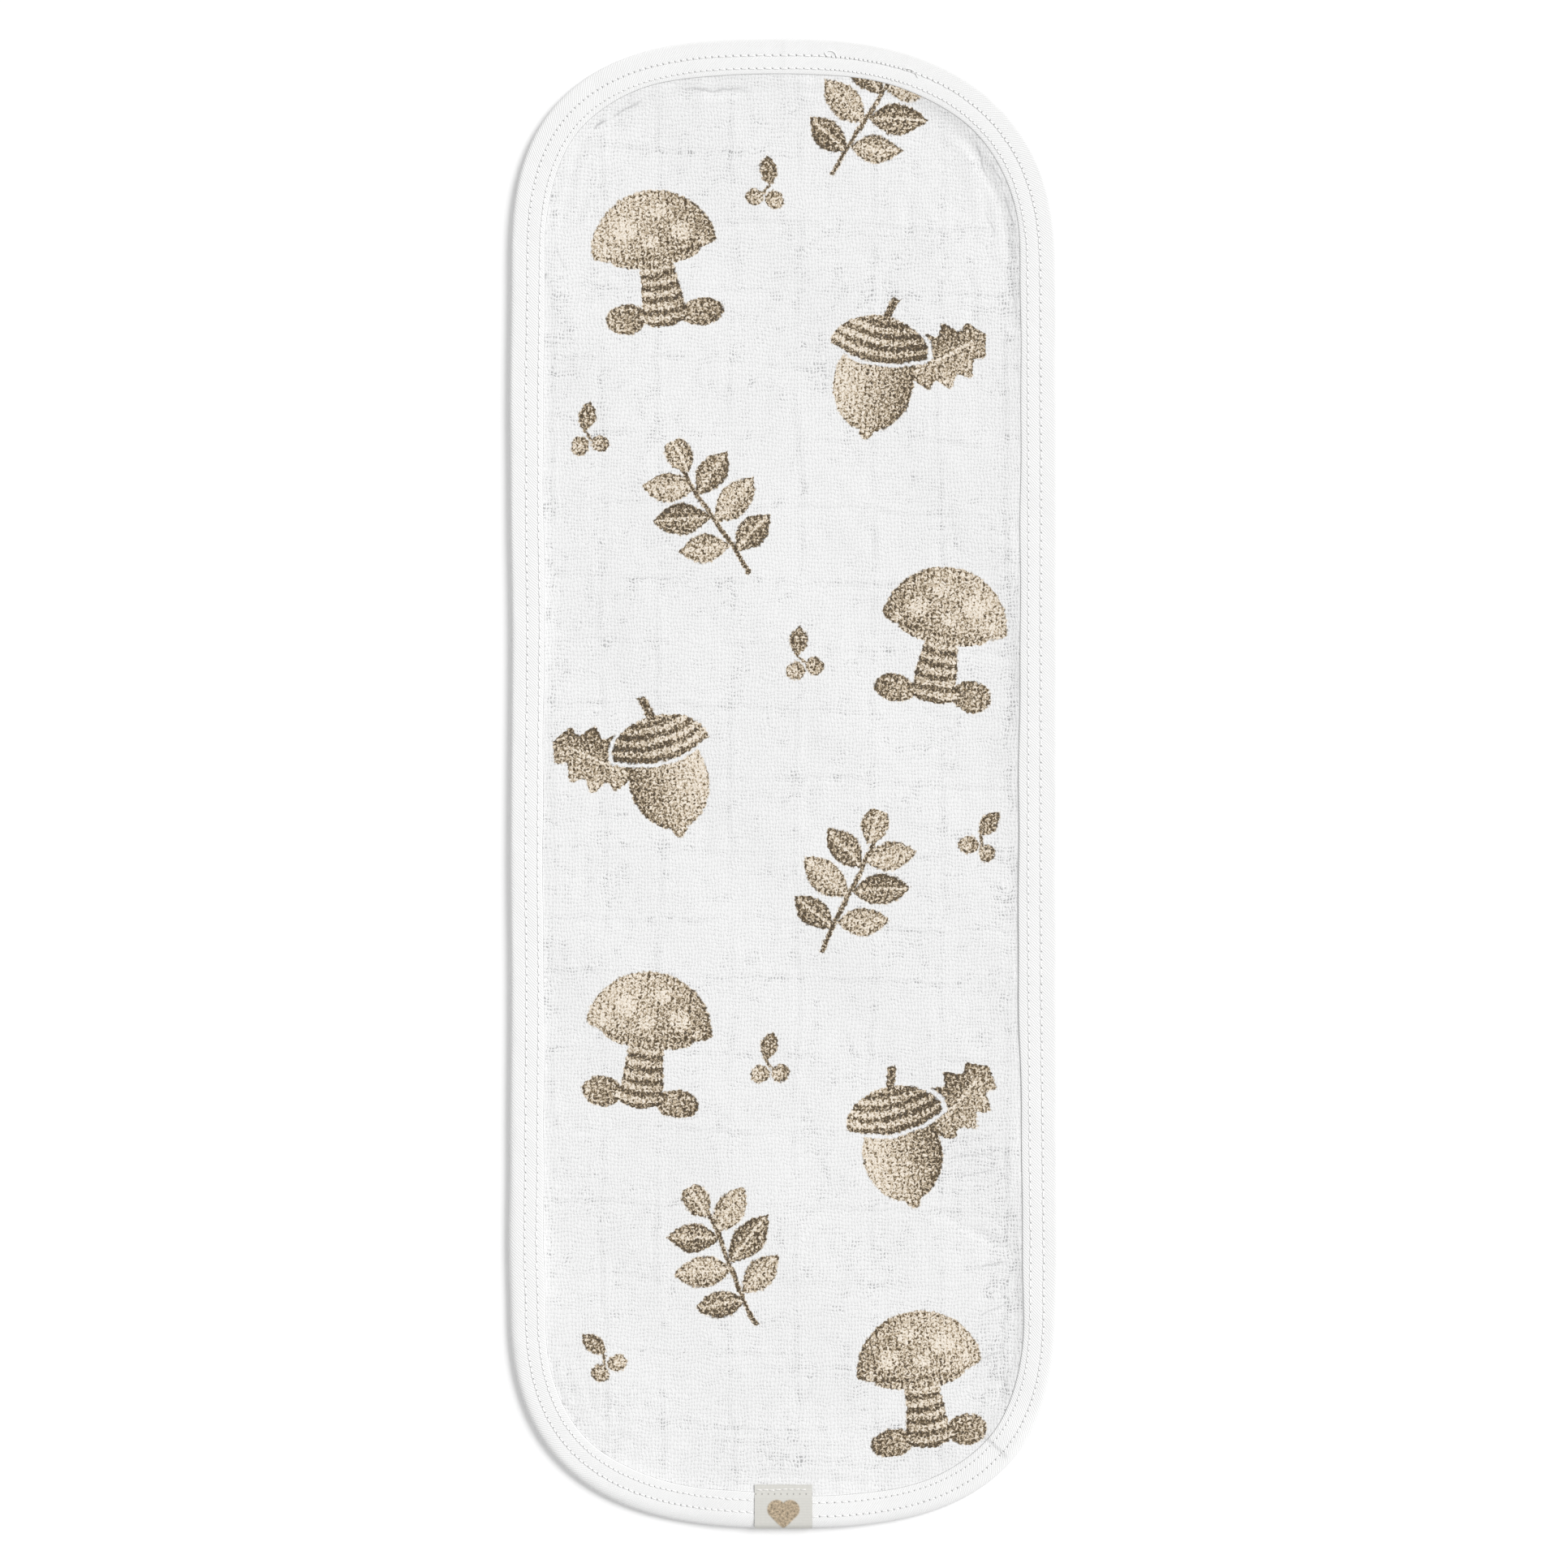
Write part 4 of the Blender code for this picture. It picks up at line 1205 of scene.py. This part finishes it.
def make_binding(material):
    """The folded strip: a closed section, worked out at every station and carried round the edge.

    Its outer fold is a superellipse, and its upper face follows binding_top."""
    sizes = [size[:, None] for size in binding_sizes(SHARE)]
    width = sizes[0]
    share = SHARE[:, None]
    depth, square = outer_roll(share)
    under = width + (depth - width) * np.linspace(0, 1, 6)[None, :]
    turn = np.linspace(0, math.pi, 13)[1:-1][None, :]
    roll = depth * (1 - np.sin(turn) ** (2 / square))
    roll_height = -np.sign(np.cos(turn)) * np.abs(np.cos(turn)) ** (2 / square)
    roll_height = 0.5 * BINDING_HIGH * (1 + roll_height) + 0 * width
    over = depth + (width - 0.35 * MM - depth) * np.linspace(0, 1, 24)[None, :]
    over_height = binding_top(over, share, sizes)
    lip = width + np.array([[-0.12, -0.01, 0.0]]) * MM
    lip_height = over_height[:, -1:] + np.array([[-0.06, -0.24, -0.60]]) * MM
    slot_end = np.full_like(width, SLOT_END)
    slot = np.concatenate([width, slot_end, slot_end, width], 1)
    slot_height = np.tile([SLOT_ROOF, SLOT_ROOF, FLAP_FLOOR, FLAP_FLOOR], (len(width), 1))
    inset = np.concatenate([under, roll, over, lip, slot], 1)
    height = np.concatenate([0 * under, roll_height, over_height, lip_height, slot_height], 1)
    x = EDGE[:, :1] + INWARD[:, :1] * inset
    y = EDGE[:, 1:] + INWARD[:, 1:] * inset
    height = height + label_lift(x, y)
    stations, section = inset.shape
    points = np.stack([x, y, height], 2).reshape(-1, 3)
    i, j = np.meshgrid(np.arange(stations), np.arange(section), indexing="ij")
    i, j = i.ravel(), j.ravel()
    i2, j2 = (i + 1) % stations, (j + 1) % section
    faces = np.stack([i * section + j, i * section + j2, i2 * section + j2, i2 * section + j], 1)
    piece = new_piece("binding_strip", points, [faces], material)
    # Maps: "Strip" in metres along and across the strip, "Rows" in stitches along and sewn rows across
    steps = np.hypot(np.diff(inset, axis=1), np.diff(height, axis=1))
    girth = np.concatenate([np.zeros_like(width), np.cumsum(steps, 1)], 1)
    girth = np.concatenate([girth, girth[:, -1:] + FLAP_FLOOR], 1)
    outer, inner = sizes[1], sizes[2]
    between_rows = 1 + (inset - outer) / (inner - outer)
    past_rows = 2 + (inset - inner) / (width - inner)
    across = np.where(inset < inner, between_rows, past_rows)
    across = np.where(inset < outer, inset / outer, across)
    across = np.where(height < SLOT_ROOF, across + 10.0, across)
    across = np.concatenate([across, across[:, :1]], 1)
    count = stitch_counts()
    metres = np.arange(stations + 1) * PERIMETER / stations
    strip_corners, row_corners = [], []
    for di, dj in ((0, 0), (0, 1), (1, 1), (1, 0)):
        strip_corners.append(np.stack([metres[i + di], girth[(i + di) % stations, j + dj]], 1))
        row_corners.append(np.stack([count[i + di], across[(i + di) % stations, j + dj]], 1))
    add_map(piece, "Strip", np.stack(strip_corners, 1))
    add_map(piece, "Rows", np.stack(row_corners, 1))
    # Painted shade in the needle holes: how strong at each station, fading beside the label
    hole_shade = HOLE_SHADE_SIDES + HOLE_SHADE_ENDS_MORE * smoothstep((np.abs(EDGE[:, 1]) - 190.0 * MM) / (40.0 * MM))
    hole_shade[(SHARE > SEWN_TWICE[0]) & (SHARE < SEWN_TWICE[1])] = HOLE_SHADE_TWICE
    plain = smoothstep((SHARE - PLAIN_STRETCH[0]) / 0.004) * smoothstep((PLAIN_STRETCH[1] - SHARE) / 0.006)
    hole_shade = hole_shade * (1.0 - HOLE_SHADE_PLAIN_FADE * plain)
    add_value(piece, "needle_hole_shade", np.repeat(hole_shade, section))
    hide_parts("binding")
    return piece


def tubes(paths, radius, sides=6):
    """Round threads along many paths of equal point count, as one set of points and closed faces.

    Each path point gets a ring: the radius times the taper, on the two directions square to the path."""
    paths = np.asarray(paths, float)
    number, length, _ = paths.shape
    along = np.gradient(paths, axis=1)
    along /= np.linalg.norm(along, axis=2, keepdims=True)
    side = np.cross(along, np.array([0.0, 0.0, 1.0]))
    side /= np.maximum(np.linalg.norm(side, axis=2, keepdims=True), 1e-9)
    up = np.cross(side, along)
    turn = np.arange(sides) * 2 * math.pi / sides
    taper = np.ones(length)
    taper[[0, -1]] = 0.45
    reach = radius * taper[None, :, None, None]
    across, over = np.cos(turn)[:, None], np.sin(turn)[:, None]
    ring = paths[:, :, None] + reach * (across * side[:, :, None] + over * up[:, :, None])
    points = ring.reshape(-1, 3)
    n, i, j = np.meshgrid(np.arange(number), np.arange(length - 1), np.arange(sides), indexing="ij")
    base = (n * length + i) * sides
    j2 = (j + 1) % sides
    quads = np.stack([base + j, base + j2, base + sides + j2, base + sides + j], -1).reshape(-1, 4)
    first = np.arange(number) * length * sides
    last = first + (length - 1) * sides
    caps = []
    for k in range(1, sides - 2, 2):
        caps.append(np.stack([first, first + k + 2, first + k + 1, first + k], 1))
        caps.append(np.stack([last, last + k, last + k + 1, last + k + 2], 1))
    return points, [np.concatenate([quads, *caps])]


def at_share(share, inset):
    """Points on the plan at this share round and inset."""
    place = np.mod(share, 1.0) * BINDING_STATIONS
    low = np.floor(place).astype(int) % BINDING_STATIONS
    part = (place - np.floor(place))[..., None]
    nxt = (low + 1) % BINDING_STATIONS
    edge = EDGE[low] * (1 - part) + EDGE[nxt] * part
    inward = INWARD[low] * (1 - part) + INWARD[nxt] * part
    return edge + inward * np.asarray(inset)[..., None]


def seam_paths(row, side):
    """Each stitch of a row as a short bowed thread that dips into its two needle holes."""
    count = stitch_counts()
    total = int(round(count[-1]))
    holes = np.arange(total) + 0.5
    steps = np.linspace(0.04, 0.96, 7)
    stitch = holes[:, None] + steps[None, :]
    share = np.interp(np.mod(stitch, total), count, np.arange(BINDING_STATIONS + 1) / BINDING_STATIONS)
    sizes = binding_sizes(share)
    rng = np.random.default_rng(60 + row)
    wobble = rng.normal(0, 0.07 * MM, (len(holes), 1))
    wobble = wobble + rng.normal(0, 0.10 * MM, (len(holes), 1)) * (steps - 0.5)
    inset = sizes[row] + wobble
    plan = at_share(share, inset)
    bow = np.sin(math.pi * (steps - 0.04) / 0.92) ** 0.7
    if side > 0:
        height = binding_top(inset, share, sizes) + THREAD_RADIUS * (1.15 * bow - 0.75)
    else:
        height = THREAD_RADIUS * (1.3 - 0.3 * bow) + 0 * inset
    height = height + label_lift(plan[..., 0], plan[..., 1])
    hidden = np.abs(plan[:, 3, 0] - LABEL_X) < 0.5 * LABEL_WIDTH + 0.4 * MM
    hidden &= plan[:, 3, 1] < -0.2
    return np.concatenate([plan, height[..., None]], 2)[~hidden]


def tail_paths():
    """Each loose thread end as a curve bent by its middle point, lying on the binding."""
    t = np.linspace(0, 1, 14)[None, :, None]
    start, bend, end = (np.array([row[k] for row in TAIL_ROWS])[:, None] for k in range(3))
    plan = start * (1 - t) ** 2 + bend * 2 * t * (1 - t) + end * t**2
    inset, share = edge_reading(plan[..., 0].ravel(), plan[..., 1].ravel())
    height = binding_top(inset, share, binding_sizes(share)).reshape(plan.shape[:2])
    return np.concatenate([plan, (height + 0.9 * THREAD_RADIUS)[..., None]], 2)


def make_sewing(material):
    """Both rows of stitches on the upper face with the loose ends, and both rows underneath."""
    upper = np.concatenate([seam_paths(1, 1), seam_paths(2, 1)])
    points, faces = tubes(upper, THREAD_RADIUS)
    tails, tail_faces = tubes(tail_paths(), 0.8 * THREAD_RADIUS)
    faces = [*faces, *(part + len(points) for part in tail_faces)]
    top = new_piece("sewing_upper", np.concatenate([points, tails]), faces, material)
    lower = np.concatenate([seam_paths(1, -1), seam_paths(2, -1)])
    points, faces = tubes(lower, THREAD_RADIUS)
    below = new_piece("sewing_under", points, faces, material)
    return [top, below]


def make_label(material, thread):
    """The folded tape, and the row of stitches across its upper end.

    The tape's middle line is rounded, thickened to both sides and carried straight across its width."""
    lift = LABEL_LIFT
    clear = LABEL_CLEAR + 0.5 * LABEL_THICKNESS
    top = lift + BINDING_HIGH + clear
    low = 0.5 * LABEL_THICKNESS
    muslin_top = lift + 2.75 * MM + clear
    path = [
        # inset from the cloth's edge, height
        (LABEL_UPPER_END, muslin_top),
        (14.6 * MM, muslin_top + 0.1 * MM),
        (13.0 * MM, top - 0.35 * MM),
        (11.4 * MM, top),
        (9.0 * MM, top + 0.08 * MM),
        (6.5 * MM, top + 0.1 * MM),
        (4.4 * MM, top + 0.05 * MM),
        (2.6 * MM, top),
    ]
    for step in range(1, 12):
        turn = math.pi * step / 12
        inset = 2.2 * MM - (2.2 * MM + clear) * math.sin(turn)
        path.append((inset, low + 0.5 * (top - low) * (1 + math.cos(turn))))
    path += [(2.6 * MM, low), (8.0 * MM, low), (LABEL_LOWER_END, low)]
    path = np.array(path)
    distance = np.concatenate([[0], np.cumsum(np.hypot(*np.diff(path, axis=0).T))])
    fine = np.linspace(0, distance[-1], 90)
    path = np.stack([np.interp(fine, distance, path[:, k]) for k in (0, 1)], 1)
    for _ in range(3):
        path[1:-1] = 0.25 * path[:-2] + 0.5 * path[1:-1] + 0.25 * path[2:]
    along = np.gradient(path, axis=0)
    along /= np.hypot(along[:, 0], along[:, 1])[:, None]
    out = np.stack([-along[:, 1], along[:, 0]], 1) * 0.5 * LABEL_THICKNESS
    section = np.concatenate([path + out, (path - out)[::-1]])
    columns = 45
    x = LABEL_X + np.linspace(-0.5, 0.5, columns) * LABEL_WIDTH
    rows = np.broadcast_arrays(x[:, None], section[None, :, 0] - HALF_LENGTH, section[None, :, 1])
    points = np.stack(rows, 2)
    ring = len(section)
    i, j = np.meshgrid(np.arange(columns - 1), np.arange(ring), indexing="ij")
    i, j = i.ravel(), j.ravel()
    j2 = (j + 1) % ring
    faces = np.stack([i * ring + j, (i + 1) * ring + j, (i + 1) * ring + j2, i * ring + j2], 1)
    half = len(path)
    k = np.arange(half - 1)
    end = (columns - 1) * ring
    caps = np.stack([k, k + 1, ring - 2 - k, ring - 1 - k], 1)
    faces = np.concatenate([faces, caps, (caps + end)[:, ::-1]])
    piece = new_piece("tape_label", points.reshape(-1, 3), [faces], material)
    # Map in metres: across the tape, and along it from its lowest visible line
    flat_y = np.concatenate([fine, fine[::-1]])
    fold = fine[int(np.argmin(path[:, 0]))]
    grid = np.stack(np.broadcast_arrays(x[:, None] - LABEL_X, fold - flat_y[None, :]), 2).reshape(-1, 2)
    add_map(piece, "Tape", grid[faces])
    piece.data.set_sharp_from_angle(angle=math.radians(50.0))
    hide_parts("label")

    stitch_y = LABEL_UPPER_END - 1.7 * MM - HALF_LENGTH
    starts = np.arange(-0.5 * LABEL_WIDTH + 0.5 * MM, 0.5 * LABEL_WIDTH - 2.2 * MM, LABEL_STITCH)
    steps = np.linspace(0, 1, 7)
    rng = np.random.default_rng(8)
    paths = []
    for start in starts:
        px = LABEL_X + start + 0.12 * MM + steps * 2.05 * MM
        py = stitch_y + rng.normal(0, 0.10 * MM) + rng.normal(0, 0.16 * MM) * (steps - 0.5)
        inset = py + HALF_LENGTH
        upper = path[:half // 2][::-1]
        surface = np.interp(inset, upper[:, 0], upper[:, 1]) + 0.5 * LABEL_THICKNESS
        pz = surface + THREAD_RADIUS * (1.3 * np.sin(math.pi * steps) ** 0.7 - 0.8)
        paths.append(np.stack([px, py, pz], 1))
    points, faces = tubes(np.array(paths), THREAD_RADIUS * 1.1)
    sewn = new_piece("label_sewing", points, faces, thread)
    return piece, sewn


def make_camera():
    """A camera straight above, as high as makes the picture's width fit the level of the cloth's top."""
    data = bpy.data.cameras.new("camera")
    data.lens = LENS_MM
    data.sensor_width = SENSOR_MM
    data.clip_end = 20.0
    camera = bpy.data.objects.new("camera", data)
    bpy.context.scene.collection.objects.link(camera)
    camera.location = (*AIM, PICTURE_WIDTH * LENS_MM / SENSOR_MM + CLOTH_TOP)
    bpy.context.scene.camera = camera


def make_studio():
    """A plain pale floor, one large soft light from the upper right and an even pale sky."""
    mesh = bpy.data.meshes.new("floor")
    size = 6.0
    corners = [(-size, -size, 0), (size, -size, 0), (size, size, 0), (-size, size, 0)]
    mesh.from_pydata(corners, [], [(0, 1, 2, 3)])
    material, _, shader = new_material("Pale floor", 0.9)
    shader.inputs["Base Color"].default_value = (0.97, 0.97, 0.97, 1.0)
    mesh.materials.append(material)
    floor = bpy.data.objects.new("floor", mesh)
    bpy.context.scene.collection.objects.link(floor)
    data = bpy.data.lights.new("key_light", "SUN")
    data.energy = KEY_STRENGTH
    data.angle = KEY_ANGLE
    light = bpy.data.objects.new("key_light", data)
    bpy.context.scene.collection.objects.link(light)
    light.location = KEY_FROM
    light.rotation_euler = (-light.location.normalized()).to_track_quat("-Z", "Y").to_euler()
    world = bpy.data.worlds.new("studio")
    world.use_nodes = True
    background = world.node_tree.nodes["Background"]
    background.inputs["Color"].default_value = (1.0, 1.0, 1.0, 1.0)
    background.inputs["Strength"].default_value = SKY_STRENGTH
    bpy.context.scene.world = world
    bpy.context.scene.view_settings.view_transform = "Standard"
    bpy.context.scene.view_settings.look = "None"


make_camera()
make_studio()
gauze, twill = gauze_group(), twill_group()
motifs = {
    "toadstool": toadstool_group(),
    "acorn": acorn_group(),
    "sprig": sprig_group(),
    "berry": berry_group(),
}
woodland = print_group(motifs, knit_group())
thread = thread_material("White sewing thread", 0.83, 0.01)
label_thread = thread_material("Pale sewing thread", 0.76, 0.04)
panel = make_panel(muslin_material(gauze, fold_shade_group(), woodland))
binding = make_binding(twill_material(twill))
sewing = make_sewing(thread)
label, label_sewing = make_label(tape_material(), label_thread)
